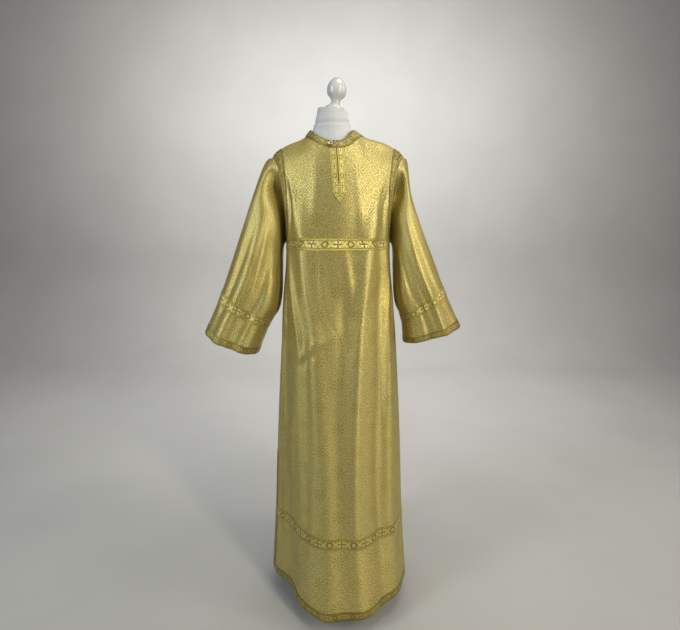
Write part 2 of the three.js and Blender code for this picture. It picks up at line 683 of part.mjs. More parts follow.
// The placket: one braid on each side of the slit, cut to a point together below it
for (const hand of hands) {
  const name = `front_${hand}`;
  const { rows, hand: sign } = quarters[name];
  const last = rows.findIndex((row) => row[0].z < PLACKET_OPEN_Z);
  const above = rows.slice(1, last).map((row) => row.slice(0, PLACKET_COLUMNS + 1));
  above[0] = above[0].map((p, c) => p.clone().lerp(above[1][c], PLACKET_START));
  const tip = rows[last][0].clone().setX(sign * SEAM);
  const end = above.at(-1);
  const faces = quads(above, isFlipped(quarters[name]));
  for (let c = 0; c < PLACKET_COLUMNS; c++)
    faces.push(sign > 0 ? [end[c], tip, end[c + 1], end[c + 1]] : [end[c + 1], tip, end[c], end[c]]);
  braid(`placket_${hand}`, faces, allNormals);
}

// The button at the neck stands on the braid beside the slit
const button = add("button", turned([
  [0, 0], [3, 0], [3, 1.4], [6, 1.8], [6.6, 3.2], [5.6, 4.8], [3, 5.9], [0, 6.2],
], 14), gilt);
{
  const [upper, lower] = quarters.front_left.rows;
  const [a, b, c, d] = [upper[1], upper[2], lower[1], lower[2]];
  const across = b.clone().sub(a);
  const down = c.clone().sub(a);
  const out = across.cross(down).normalize();
  if (out.y > 0) out.negate();
  button.position.copy(a).add(b).add(c).add(d).multiplyScalar(0.25).addScaledVector(out, LIFT + BRAID + 0.7);
  button.quaternion.setFromUnitVectors(Z, out);
}

// The sleeves, with their bands and cuffs
for (const hand of hands) {
  const faces = sleeveFaces(hand, 0, SLEEVE_V.length - 1);
  const normals = directions(faces, sleeveSquare);
  cloth(`sleeve_${hand}`, faces, normals);
  braid(`sleeve_band_${hand}`, sleeveFaces(hand, ...BAND_V), normals);
  braid(`cuff_${hand}`, sleeveFaces(hand, ...CUFF_V), normals);
}

// The form: torso with neck, turned cap, pole and base
add("form_torso", bodyGeometry(formFaces()), jersey);
// The cap stands on the sloping top of the neck and leans with it
const CAP = { x: -9, gap: 0.5 };
const cap = add("form_cap", turned([
  [0, 0], [28, 0], [29, 3], [27.5, 9], [20, 15], [14, 21], [13.5, 27], [18, 33], [25.5, 41], [28.5, 51],
  [28.5, 60], [26, 70], [20.5, 79], [12.5, 86], [0, 89],
], 20), paint);
cap.position.set(CAP.x, 0, NECK_TOP.z + NECK_TOP.slope * CAP.x + CAP.gap);
cap.rotation.y = -Math.atan(NECK_TOP.slope);
const BASE_R = 168;
add("form_base", turned([
  [0, 0], [BASE_R, 0], [BASE_R, 7], [BASE_R - 8, 11], [60, 17], [30, 21], [26, 36], [0, 36],
], 40), steel);
add("form_pole", turned([[0, 36.3], [15, 36.3], [15, 779.7], [0, 779.7]], 16), steel);

export default root;
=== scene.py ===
import math

import bmesh
import bpy
import numpy as np
from mathutils import Matrix, Vector


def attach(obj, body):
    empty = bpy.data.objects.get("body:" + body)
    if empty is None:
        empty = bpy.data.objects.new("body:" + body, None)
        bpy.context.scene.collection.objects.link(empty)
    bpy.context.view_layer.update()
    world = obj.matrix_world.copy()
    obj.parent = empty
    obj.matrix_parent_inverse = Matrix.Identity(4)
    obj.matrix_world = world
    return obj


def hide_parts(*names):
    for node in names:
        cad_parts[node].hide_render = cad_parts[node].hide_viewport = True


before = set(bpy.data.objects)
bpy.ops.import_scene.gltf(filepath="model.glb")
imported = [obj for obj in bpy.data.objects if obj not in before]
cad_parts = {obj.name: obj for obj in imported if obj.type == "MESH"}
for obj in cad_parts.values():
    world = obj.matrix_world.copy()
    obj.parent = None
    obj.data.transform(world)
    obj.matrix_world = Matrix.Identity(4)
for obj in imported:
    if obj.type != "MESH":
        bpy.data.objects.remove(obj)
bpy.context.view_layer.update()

# ---- Base and pole of the dress form ----
# A spun steel disc with a low hub carries a plain steel tube. Both are powder coated in dark grey,
# and the tube is pressed into the hub. All turned pieces are drawn out ring by ring from one disc.


def add_object(name, data):
    made = bpy.data.objects.new(name, data)
    bpy.context.collection.objects.link(made)
    return made


def face_outward():
    bpy.ops.object.mode_set(mode="EDIT")
    bpy.ops.mesh.select_all(action="SELECT")
    bpy.ops.mesh.normals_make_consistent(inside=False)
    bpy.ops.object.mode_set(mode="OBJECT")


def turned(name, profile, segments):
    """Draws a disc up its axis through the rings of profile: radius and height in mm."""
    bpy.ops.object.select_all(action="DESELECT")
    radius, height = profile[0]
    bpy.ops.mesh.primitive_circle_add(
        vertices=segments, radius=radius / 1000, fill_type="NGON", location=(0, 0, height / 1000))
    piece = bpy.context.object
    piece.name = name
    bpy.ops.object.transform_apply()
    bpy.ops.object.mode_set(mode="EDIT")
    bpy.ops.mesh.select_all(action="SELECT")
    for next_radius, next_height in profile[1:]:
        bpy.ops.mesh.extrude_region_move(
            TRANSFORM_OT_translate={"value": (0, 0, (next_height - height) / 1000)})
        share = next_radius / radius
        bpy.ops.transform.resize(value=(share, share, 1), center_override=(0, 0, next_height / 1000))
        radius, height = next_radius, next_height
    face_outward()
    bpy.ops.object.shade_smooth_by_angle(angle=math.radians(38))
    return piece


class Value:
    """A number that varies over a surface. Its sums and products add Math nodes."""

    def __init__(self, finish, socket):
        self.finish, self.socket = finish, socket

    def math(self, operation, *others, first=False):
        sides = (*others, self) if first else (self, *others)
        return self.finish.node("Math", {"operation": operation}, dict(enumerate(sides)))

    def __add__(self, other):
        return self.math("ADD", other)

    __radd__ = __add__

    def __sub__(self, other):
        return self.math("SUBTRACT", other)

    def __rsub__(self, other):
        return self.math("SUBTRACT", other, first=True)

    def __mul__(self, other):
        return self.math("MULTIPLY", other)

    __rmul__ = __mul__

    def __truediv__(self, other):
        return self.math("DIVIDE", other)

    def __abs__(self):
        return self.math("ABSOLUTE")

    def __lt__(self, other):
        return self.math("LESS_THAN", other)

    def highest(self, *others):
        value = self
        for other in others:
            value = value.math("MAXIMUM", other)
        return value

    def wrap(self, period):
        """The distance to the nearest multiple of period, with its sign."""
        return ((self / period + 0.5).math("FRACT") - 0.5) * period

    def ramp(self, low, high):
        """0 below low and 1 above high, with a soft step between."""
        return self.finish.node("MapRange", {"interpolation_type": "SMOOTHSTEP"},
                                {"Value": self, "From Min": low, "From Max": high})


class Finish:
    """A material with one Principled shader, and the methods that add its nodes."""

    def __init__(self, name, **constants):
        self.material = bpy.data.materials.new(name)
        self.material.use_nodes = True
        self.nodes = self.material.node_tree.nodes
        self.links = self.material.node_tree.links
        self.shader = self.nodes["Principled BSDF"]
        for socket, value in constants.items():
            self.shader.inputs[socket.replace("_", " ")].default_value = value

    def node(self, kind, settings, inputs, output=0):
        made = self.nodes.new("ShaderNode" + kind)
        for key, value in settings.items():
            setattr(made, key, value)
        for key, value in inputs.items():
            if isinstance(value, Value):
                self.links.new(value.socket, made.inputs[key])
            else:
                made.inputs[key].default_value = value
        return Value(self, made.outputs[output])

    def mix(self, share, first, second):
        """The colour first where share is 0, and second where it is 1."""
        sides = [side if isinstance(side, Value) else (*side, 1) for side in (first, second)]
        return self.node("Mix", {"data_type": "RGBA"}, {0: share, 6: sides[0], 7: sides[1]}, 2)

    def place(self, output="Object"):
        return self.node("TexCoord", {}, {}, output)

    def noise(self, scale, detail=2.0, place=None):
        return self.node("TexNoise", {}, {"Vector": place or self.place(), "Scale": scale, "Detail": detail})

    def split(self, vector):
        made = self.node("SeparateXYZ", {}, {0: vector})
        return [Value(self, socket) for socket in made.socket.node.outputs]

    def bump(self, height, distance, strength):
        self.feed("Normal", self.node("Bump", {}, {
            "Height": height, "Distance": distance, "Strength": strength}))

    def feed(self, socket, value):
        self.links.new(value.socket, self.shader.inputs[socket])


def stand_for(piece, node):
    """Hangs a piece on the root body and hides the node that it takes the place of."""
    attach(piece, "root")
    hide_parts(node)


coat = Finish("powder_coat", Metallic=0.35)
grain = coat.noise(900)
scuffs = coat.noise(23, 5.0).ramp(0.56, 0.72)
coat.feed("Base Color", coat.mix(scuffs, (0.035, 0.035, 0.037), (0.075, 0.073, 0.07)))
coat.feed("Roughness", 0.42 + 0.2 * scuffs)
coat.bump(grain, 0.0002, 0.5)

BASE_PROFILE = [
    # radius, height
    (165, 0), (167.4, 0.8), (168, 2.4), (168, 5.8), (166.8, 7.6), (163, 9.4), (156, 11.1), (110, 13.9), (64, 16.6),
    (40, 18.4), (33, 20), (29.5, 23), (28, 28), (27, 34), (26, 35.6), (24.5, 36), (18, 36), (17.4, 35.2), (1, 35.2),
]
POLE_PROFILE = [(14.2, 36.3), (15, 37.1), (15, 220), (15, 420), (15, 620), (15, 778.9), (14.2, 779.7), (1, 779.7)]
for name, profile, segments, node in (("stand_base", BASE_PROFILE, 120, "form_base"),
                                      ("stand_pole", POLE_PROFILE, 48, "form_pole")):
    stand = turned(name, profile, segments)
    stand.data.materials.append(coat.material)
    stand_for(stand, node)

# ---- Torso of the dress form ----
# A limbless body of padded papier-mache under a white jersey cover, which is drawn up over the neck
# and lies there in one slack fold. Its shoulders carry the vestment, whose shape is worked out here.
CLOTH = 2  # all lengths of the shape are in mm
SEAM = 0.15
TIP_Z, CHEST_Z, SLIT_Z, HEM_Z = 1418, 1174, 490, 60
WIDE, NARROW = 35, 21
TIP_X, ARM_DEPTH, ARM_HOLLOW = 193, 52, 9
PLACKET_OPEN_Z = 1335
PLACKET_COLUMNS, PLACKET_S = 2, 0.106
PLACKET_LEAN, PLACKET_MID_Z = 6, 1385
NECK_LEAN = -17
FORM_GAP = 0.6
NECK_X = 62
SQUARE = 0.035
FULLNESS, FOLD_RISE = 2.2, 1.4  # how soon the yoke widens below the ridge, and its folds reach their height
BACK_RISE, RISE_S = 8, 0.32
FRONT, BACK = -1, 1
SIDES = ((FRONT, "front"), (BACK, "back"))
HANDS = ((-1, "left"), (1, "right"))
CHEST_COLUMNS, ARM_COLUMNS = {FRONT: 18, BACK: 13}, 11
COLUMNS = {side: count + ARM_COLUMNS for side, count in CHEST_COLUMNS.items()}
NECK_EDGE = {"s": NECK_X / TIP_X, FRONT: 0.355, BACK: 0.3}
NECK_BRAID = {"s": (NECK_X + NARROW + 1) / TIP_X, FRONT: 0.418, BACK: 0.365}
INSIDE_S = 1 - NARROW / 150
BODY = [
    # z, half width, front, back
    (1174, 155, 115, 108), (1012, 165, 122, 114), (885, 177, 131, 122),
    (595, 197, 152, 143), (281, 213, 192, 168), (60, 229, 247, 190),
]
RIDGE = [(0, 1508), (0.32, 1494), (0.46, 1474), (0.73, 1456), (0.92, 1436), (1, TIP_Z)]
FOLDS = {
    # u0, z0, u1, z1, bow, half width in u, first height, last height
    FRONT: [
        (0.46, 1330, 0.23, 60, -0.15, 0.12, 14, 9), (-0.53, 1340, -0.10, 60, 0.11, 0.11, 10, 7),
        (0.66, 1250, 0.64, 60, -0.04, 0.09, 7, 5), (0.58, 1150, 0.44, 60, -0.06, 0.08, -9, -6),
        (0.10, 1080, 0.06, 60, -0.04, 0.09, -9, -4), (-0.36, 1050, -0.30, 60, 0, 0.09, -7, -4),
        (-0.66, 1010, -0.62, 60, 0, 0.25, -4, -44), (-0.84, 1150, -0.86, 60, 0, 0.07, 5, 6),
        (0.86, 1150, 0.86, 60, 0, 0.07, 5, 4),
    ],
    BACK: [
        (0.08, 1300, 0.04, 60, 0.05, 0.11, 13, 10), (-0.40, 1280, -0.36, 60, 0.06, 0.11, 12, 11),
        (0.46, 1290, 0.36, 60, -0.04, 0.11, 13, 10), (-0.16, 1150, -0.18, 60, 0, 0.09, -11, -10),
        (0.26, 1120, 0.20, 60, 0, 0.09, -11, -9), (0.70, 1120, 0.70, 60, 0, 0.1, 8, 9),
        (-0.70, 1120, -0.68, 60, 0, 0.09, 8, 8),
    ],
}
FOLD_TOP = 140
# Smaller creases of the cloth: points (u, z) that each passes, half width and height in mm
CREASES = {
    FRONT: [
        ([(-0.92, 1408), (-0.66, 1345), (-0.56, 1265), (-0.55, 1195)], 13, 4.5),
        ([(-0.80, 1330), (-0.68, 1280), (-0.70, 1200)], 11, -3.5),
        ([(0.92, 1410), (0.62, 1350), (0.47, 1290), (0.42, 1200)], 13, 4.5),
        ([(0.84, 1340), (0.66, 1280), (0.60, 1200)], 11, -4),
        ([(0.20, 1400), (0.24, 1320), (0.26, 1240), (0.25, 1180)], 14, 2.2),
        ([(-0.22, 1390), (-0.28, 1310), (-0.30, 1215)], 14, 2),
        ([(0.10, 1060), (0.09, 860), (0.08, 660), (0.07, 460), (0.06, 280), (0.06, 60)], 24, 6.5),
        ([(0.35, 1180), (0.235, 920), (0.175, 700), (0.155, 480), (0.16, 280), (0.20, 80)], 11, 3.5),
        ([(-0.44, 812), (-0.28, 846), (-0.10, 884)], 9, -3.2),
        ([(-0.46, 838), (-0.30, 874), (-0.13, 910)], 11, 3.4),
        ([(0.34, 1140), (0.28, 1040), (0.20, 930), (0.17, 800)], 12, 3.6),
        ([(0.76, 1160), (0.70, 1060), (0.60, 950), (0.52, 820)], 11, 4),
        ([(-0.74, 1160), (-0.62, 1050), (-0.50, 930), (-0.42, 800)], 12, 4),
        ([(-0.20, 1150), (-0.17, 1050), (-0.10, 940)], 13, 3),
        ([(-0.86, 1120), (-0.76, 1010), (-0.68, 900)], 9, -3.5),
        ([(0.90, 1120), (0.80, 1000), (0.72, 880)], 9, -3.5),
        ([(0.08, 1160), (0.13, 1060), (0.12, 960)], 10, 2.6),
        ([(-0.55, 700), (-0.60, 560), (-0.58, 400), (-0.60, 150)], 15, 4.5),
        ([(0.70, 780), (0.75, 620), (0.72, 430), (0.74, 120)], 14, 4.5),
        ([(-0.08, 620), (-0.10, 460), (-0.10, 260), (-0.08, 70)], 20, 2.4),
        ([(0.40, 700), (0.39, 520), (0.42, 330), (0.44, 80)], 12, -3.8),
        ([(-0.27, 520), (-0.24, 380), (-0.28, 200), (-0.30, 66)], 14, 3.6),
        ([(0.56, 560), (0.55, 420), (0.58, 240), (0.60, 70)], 13, 4),
        ([(-0.80, 640), (-0.78, 480), (-0.80, 300)], 12, -3.5),
    ],
    BACK: [
        ([(-0.90, 1405), (-0.62, 1350), (-0.52, 1280), (-0.50, 1190)], 13, 4.2),
        ([(0.91, 1408), (0.66, 1340), (0.55, 1270), (0.52, 1195)], 13, 4.4),
        ([(0.22, 1400), (0.20, 1310), (0.24, 1200)], 14, 2.4),
        ([(-0.14, 1420), (-0.18, 1330), (-0.16, 1210)], 13, 2.2),
        ([(-0.62, 1150), (-0.54, 1020), (-0.52, 880), (-0.56, 700)], 12, 4),
        ([(0.58, 1160), (0.55, 1030), (0.60, 860), (0.56, 640)], 12, 4),
        ([(-0.30, 1140), (-0.26, 990), (-0.30, 830), (-0.28, 600)], 13, 3.8),
        ([(0.13, 1150), (0.16, 960), (0.14, 760)], 12, 3.4),
        ([(-0.84, 1120), (-0.78, 980), (-0.80, 800)], 10, -3.4),
        ([(0.86, 1110), (0.80, 960), (0.84, 760)], 10, -3.6),
        ([(-0.06, 700), (-0.08, 480), (-0.06, 240), (-0.04, 66)], 15, 4.4),
        ([(0.50, 620), (0.48, 420), (0.52, 200), (0.50, 66)], 13, -4),
        ([(-0.58, 600), (-0.56, 420), (-0.52, 220), (-0.54, 66)], 14, 4.2),
        ([(0.84, 600), (0.80, 400), (0.82, 200)], 12, 3.6),
        ([(0.38, 880), (0.20, 905)], 9, -2.8),
    ],
}
U_LENGTH = 240  # mm of cloth from the centre to the side, for the creases' distances


def smooth(share):
    share = np.clip(share, 0, 1)
    return share * share * (3 - 2 * share)


def bell(share):
    return np.exp(-(share**2))


def lerp(start, end, share):
    return start + (end - start) * share


def unit(vectors):
    return vectors / np.maximum(np.linalg.norm(vectors, axis=-1, keepdims=True), 1e-12)


def ring_share(s):
    """The share of the way round the chest, for a share s of the way along the shoulder."""
    return 0.764 * s + 0.236 * s**3


def read_table(rows, key):
    """Columns of rows at key, the first column, on a smooth curve through them."""
    table = np.array(sorted(rows), float)
    keys, values = table[:, 0], table[:, 1:]
    slopes = np.empty_like(values)
    slopes[1:-1] = (values[2:] - values[:-2]) / (keys[2:] - keys[:-2])[:, None]
    for end, other in ((0, 1), (-1, -2)):
        slopes[end] = (values[end] - values[other]) / (keys[end] - keys[other])
    key = np.asarray(key, float)
    i = np.clip(np.searchsorted(keys, key, side="right") - 1, 0, len(keys) - 2)
    span = keys[i + 1] - keys[i]
    t = np.clip((key - keys[i]) / span, 0, 1)[..., None]
    span = span[..., None]
    curve = ((2 * t**3 - 3 * t**2 + 1) * values[i] + (t**3 - 2 * t**2 + t) * slopes[i] * span
             + (3 * t**2 - 2 * t**3) * values[i + 1] + (t**3 - t**2) * slopes[i + 1] * span)
    return np.moveaxis(curve, -1, 0)


def crease_height(points, width, height, u, z):
    """Height in mm of one crease, which fades at both its ends."""
    steps = np.linspace(0, 1, 13)
    knots = np.linspace(0, 1, len(points))
    way = read_table([(k, *p) for k, p in zip(knots, points)], steps).T * (U_LENGTH, 1)
    x, y = u * U_LENGTH, z
    best, along = np.full(np.shape(x + y), 1e9), np.zeros(np.shape(x + y))
    for i in range(len(way) - 1):
        (x0, y0), (dx, dy) = way[i], way[i + 1] - way[i]
        share = np.clip(((x - x0) * dx + (y - y0) * dy) / (dx * dx + dy * dy), 0, 1)
        away = np.hypot(x - x0 - dx * share, y - y0 - dy * share)
        along = np.where(away < best, (i + share) / (len(way) - 1), along)
        best = np.minimum(best, away)
    return height * np.sin(np.pi * np.clip(along, 0.04, 0.96)) ** 0.7 * bell(best / width)


def fold_height(side, u, z):
    total = np.zeros(np.shape(u + z))
    for u0, z0, u1, z1, bow, width, first, last in FOLDS[side]:
        along = np.clip((z0 - z) / (z0 - z1), 0, 1)
        middle = lerp(u0, u1, along) + 4 * bow * along * (1 - along)
        total = total + lerp(first, last, along) * smooth((z0 - z) / FOLD_TOP) * bell((u - middle) / width)
    for points, width, height in CREASES[side]:
        total = total + crease_height(points, width, height, u, z)
    return total * (1 - smooth((np.abs(u) - 0.9) / 0.1))


def ring_point(side, u, z, folded=True):
    """A point of the skirt: u runs from seam to seam, -1 to 1."""
    half_width, front, back = read_table(BODY, z)
    angle = u * np.pi / 2
    bulge = 1 + SQUARE * np.sin(2 * angle) ** 2 * ((z - HEM_Z) / (CHEST_Z - HEM_Z))
    fold = fold_height(side, u, z) if folded else 0
    depth = (front if side == FRONT else back) * bulge + fold
    return np.stack(np.broadcast_arrays(
        (half_width * bulge + fold) * np.sin(angle), side * depth * np.cos(angle), z), -1)


def ridge_z(side, s):
    rise = BACK_RISE * np.maximum(1 - (s / RISE_S) ** 2, 0) ** 2 if side == BACK else 0
    return read_table(RIDGE, s)[0] + rise


def yoke_point(side, hand, s, t, folded=True):
    """A point of the yoke: s from the centre to the armhole, t from the ridge down to the chest."""
    s, t = np.broadcast_arrays(np.asarray(s, float), np.asarray(t, float))
    u = ring_share(s)
    angle = u * np.pi / 2
    drop = np.clip(np.cos(t * np.pi / 2), 0, 1) ** (1 + s * s)
    z = CHEST_Z + (ridge_z(side, s) - CHEST_Z) * drop
    base = ring_point(side, u * hand, np.full(np.shape(s), float(CHEST_Z)), folded=False)
    wide = 1 - (1 - t) ** FULLNESS
    fold = fold_height(side, u * hand, z) * smooth(t * FOLD_RISE) if folded else 0
    lean = NECK_LEAN * (1 - smooth((s - 0.25) / 0.4)) * (1 - smooth((t - 0.15) / 0.25))
    x = hand * (lerp(TIP_X * s, np.abs(base[..., 0]), wide) - ARM_HOLLOW * s * s * np.sin(np.pi * t))
    if side == FRONT:  # the slit leans a little
        tilt = np.clip((PLACKET_MID_Z - z) / 90, -1, 1) * np.clip((z - CHEST_Z) / 60, 0, 1) * smooth(t / 0.3)
        lean = lean + PLACKET_LEAN * tilt * bell(s / 0.35)
    y = base[..., 1] * np.sin(t * np.pi / 2) + side * ARM_DEPTH * s**3 * np.sin(np.pi * t)
    return np.stack([x + hand * fold * np.sin(angle) + lean, y + side * fold * np.cos(angle), z], -1)


def yoke_level(side, s, z):
    share = np.clip((z - CHEST_Z) / (ridge_z(side, s) - CHEST_Z), 0, 1)
    return np.arccos(share ** (1 / (1 + s * s))) / (np.pi / 2)


def yoke_way(side, c, r, chest=None, arm=ARM_COLUMNS):
    """The pair s, t on column c of the yoke, from the neck, r = 0, by way of the braid's lower edge
    and the edge braid's inner edge, r = 1 and 2, to the edge, r = 3."""
    chest = chest or CHEST_COLUMNS[side]
    c, r = np.broadcast_arrays(np.asarray(c, float), np.asarray(r, float))
    columns = chest + arm
    straight = PLACKET_S * c / PLACKET_COLUMNS
    beside = c < PLACKET_COLUMNS

    def ring(sizes):
        start = math.asin(PLACKET_S / sizes["s"])
        spread = (c - PLACKET_COLUMNS) / (columns - PLACKET_COLUMNS)
        turn = np.where(beside, np.arcsin(np.clip(straight / sizes["s"], -1, 1)), lerp(start, np.pi / 2, spread))
        return np.stack([sizes["s"] * np.sin(turn), sizes[side] * np.cos(turn)])

    past = (c - PLACKET_COLUMNS) / (chest - PLACKET_COLUMNS)
    s = np.where(beside, straight, np.minimum(lerp(PLACKET_S, 1, past), 1))
    rise = np.clip((columns - c) / arm, 0, 1)
    inside_z = lerp(CHEST_Z + WIDE / 2, float(ridge_z(side, INSIDE_S)), np.cos(rise * np.pi / 2) ** 2)
    inside = np.stack([s * INSIDE_S, yoke_level(side, s * INSIDE_S, inside_z)])
    edge = np.stack([s, np.where(c <= chest, 1, rise)])
    knots = np.stack([ring(NECK_EDGE), ring(NECK_BRAID), inside, edge])
    i = np.clip(np.floor(r), 0, 2).astype(int)
    index = np.indices(r.shape)
    low = np.stack([knots[(i, k, *index)] for k in (0, 1)])
    high = np.stack([knots[(i + 1, k, *index)] for k in (0, 1)])
    return lerp(low, high, r - i)


def mesh_piece(name, grids, finish, thickness=0.0, angle=None):
    """One mesh from grids of points in mm, each with its UV map in metres and whether it is turned round."""
    points, faces, maps = [], [], []
    for grid, uv, flip in grids:
        start = sum(len(p) for p in points)
        rows, columns = grid.shape[:2]
        ids = start + np.arange(rows * columns).reshape(rows, columns)
        corners = [ids[:-1, :-1], ids[1:, :-1], ids[1:, 1:], ids[:-1, 1:]]
        quads = np.stack([corner.ravel() for corner in (corners[::-1] if flip else corners)], 1)
        points.append(grid.reshape(-1, 3) / 1000)
        maps.append(uv.reshape(-1, 2))
        faces.append(quads)
    points, faces, maps = np.concatenate(points), np.concatenate(faces), np.concatenate(maps)
    mesh = bpy.data.meshes.new(name)
    mesh.from_pydata(points.tolist(), [], faces.tolist())
    layer = mesh.uv_layers.new(name="cloth")
    layer.data.foreach_set("uv", maps[faces.ravel()].astype(np.float32).ravel())
    piece = add_object(name, mesh)
    work = bmesh.new()
    work.from_mesh(mesh)
    bmesh.ops.remove_doubles(work, verts=work.verts, dist=2e-5)
    bmesh.ops.dissolve_degenerate(work, edges=work.edges, dist=1e-6)
    work.to_mesh(mesh)
    work.free()
    mesh.materials.append(finish.material)
    bpy.ops.object.select_all(action="DESELECT")
    piece.select_set(True)
    bpy.context.view_layer.objects.active = piece
    if thickness:
        wall = piece.modifiers.new("wall", "SOLIDIFY")
        wall.thickness, wall.offset = thickness / 1000, -1
        bpy.ops.object.modifier_apply(modifier="wall")
    if angle:
        bpy.ops.object.shade_smooth_by_angle(angle=math.radians(angle))
    else:
        bpy.ops.object.shade_smooth()
    return piece


FORM = [
    # z, half width, front, back
    (1174, 142, 99, 93), (1110, 131, 93, 88), (1050, 124, 88, 84), (985, 130, 92, 92),
    (915, 144, 99, 103), (850, 149, 103, 108), (805, 145, 99, 103), (780, 132, 88, 92),
]
NECK_TOP = {"z": 1545, "x": 43, "y": 43, "slope": -0.12, "middle": -15}
NECK_PINCH, NECK_EASE, FORM_EASE = 0.05, 3, 11
FORM_CHEST, FORM_ARM = 7, 4
FORM_FOOT_Z = 780
JOIN_ABOVE, JOIN_RUN = 17, 70  # where the chest's line passes into the form's own


def form_point(side, hand, s, t, more=0.0):
    """A point of the form's shoulders, a little inside the cloth's own shape."""
    step = 1e-3

    def at(ds, dt):
        return yoke_point(side, hand, np.clip(s + ds, 0, 1), np.clip(t + dt, 0, 0.998), folded=False)

    p, on_ridge = at(0, 0), t < 0.01
    normal = unit(np.cross(at(step, 0) - at(-step, 0), at(0, step) - at(0, -step)))
    normal = np.where(normal[..., 1:2] * side < 0, -normal, normal)
    normal[..., 0] *= smooth(s / 0.12)  # both halves agree on the centre line
    normal = unit(normal)
    upright = normal * (1, 0, 1)
    upright[..., 2] = np.abs(upright[..., 2])
    normal = np.where(on_ridge[..., None], unit(upright), normal)
    ease = CLOTH + FORM_GAP + more + FORM_EASE * smooth(t / 0.45)
    p = p - normal * ease[..., None]
    p[..., 0] = hand * np.minimum(hand * p[..., 0], TIP_X - 16 - 25 * smooth(t * 1.5))
    p[..., 1] = np.where(on_ridge, 0, p[..., 1])
    return p


def form_quarter(side, hand):
    columns = FORM_CHEST + FORM_ARM
    c = np.linspace(0, columns, columns * 4 + 1)
    turn = c / columns * np.pi / 2
    middle = NECK_TOP["middle"]
    crown = np.stack([middle + hand * NECK_TOP["x"] * np.sin(turn), side * NECK_TOP["y"] * np.cos(turn),
                      np.full(len(c), float(NECK_TOP["z"]))], -1)
    crown[:, 2] += NECK_TOP["slope"] * crown[:, 0]
    cap = np.tile([middle, 0, NECK_TOP["z"] + NECK_TOP["slope"] * middle], (len(c), 1))

    def shoulder(r, more=0.0):
        s, t = yoke_way(side, c, np.full(len(c), float(r)), FORM_CHEST, FORM_ARM)
        point = form_point(side, hand, s, t, more)
        point[:1] = form_point(side, 1, s[:1], t[:1], more)
        return point

    base = shoulder(0, NECK_EASE)
    rows = [cap, lerp(cap, crown, 0.6), lerp(cap, crown, 0.93), crown]
    for f in np.linspace(0, 1, 26)[1:-1]:
        # The slack of the cover lies in one fold that arches over the front
        p = lerp(crown, base, f)
        pinch = 1 - NECK_PINCH * np.sin(np.pi * f)
        across = (p[:, 0] - middle) / 50
        slack = 0.0
        arch = 0.36 + 0.16 * across**2 - 0.05 * across
        for offset, height, width in ((-0.1, 1.5, 0.1), (0.025, -1.5, 0.035), (0.09, 0.9, 0.06)):
            slack = slack + height * bell((f - arch - offset) / width)
        slack = slack * np.sin(np.pi * f) ** 0.5 * (0.8 - side * 0.2 * np.cos(turn))
        pinch = pinch + slack / 50
        rows.append(np.stack([middle + (p[:, 0] - middle) * pinch, p[:, 1] * pinch, p[:, 2]], -1))
    rows.append(base)
    rows += [shoulder(r) for r in np.linspace(0, 2, 25)[1:]]
    rows = np.array(rows)
    rows[:, -1, 1] = 0
    return rows


jersey = Finish("white_jersey", Roughness=0.86, Sheen_Weight=0.25)
place = jersey.place()
x, y, z = jersey.split(place)
ribs = (x * 2600).math("SINE") * 0.5 + (z * 3600).math("SINE") * 0.5
shade = jersey.noise(9, 3.0, place)
jersey.feed("Base Color", jersey.mix(shade.ramp(0.3, 0.75), (0.52, 0.53, 0.535), (0.45, 0.46, 0.47)))
jersey.bump(ribs + jersey.noise(160, place=place) * 2, 0.00025, 0.35)

torso_grids = []
FORM_LEVELS = np.concatenate([np.linspace(CHEST_Z, 790, 40)[2:], [785, 781, FORM_FOOT_Z]])
for hand in (-1, 1):
    both = {side: form_quarter(side, hand) for side in (FRONT, BACK)}
    split = FORM_CHEST * 4
    arms = {side: both[side][-1, split:] for side in both}
    middle_line = (arms[FRONT] + arms[BACK]) / 2 * (1, 0, 1)
    for side in both:
        flip = side * hand < 0
        rows = both[side]
        chest_edge = rows[-1, :split + 1]
        s, _ = yoke_way(side, np.linspace(0, FORM_CHEST, split + 1), np.full(split + 1, 3.0), FORM_CHEST, FORM_ARM)
        angle = ring_share(s) * np.pi / 2
        lower = [chest_edge]
        for level in FORM_LEVELS:
            width, front, back = read_table(FORM, level)
            depth = front if side == FRONT else back
            lower.append(np.stack([hand * width * np.sin(angle), side * depth * np.maximum(np.cos(angle), 0),
                                   np.full(split + 1, level)], -1))
        meeting = np.vstack([chest_edge[:-1], middle_line[:1]])
        for i, row in enumerate(lower[1:], 1):
            share = smooth((CHEST_Z + JOIN_ABOVE - row[:1, 2:]) / JOIN_RUN)
            lower[i] = lerp(meeting, row, share) * (1, 1, 0) + row * (0, 0, 1)
            lower[i][-1, 1] = 0
        lower += [lerp(lower[-1], np.array([0, 0, FORM_FOOT_Z]), f) for f in (0.06, 0.3, 0.6, 1)]
        corner = np.array([[arms[side][0], middle_line[0]], [lower[1][-1], lower[1][-1]]])
        for grid in (rows, np.array(lower), np.stack([arms[side], middle_line])):
            torso_grids.append((grid, grid[..., :2] * 0, not flip))
        torso_grids.append((corner, corner[..., :2] * 0, flip))
torso = mesh_piece("form_body", torso_grids, jersey, angle=50)
face_outward()
stand_for(torso, "form_torso")

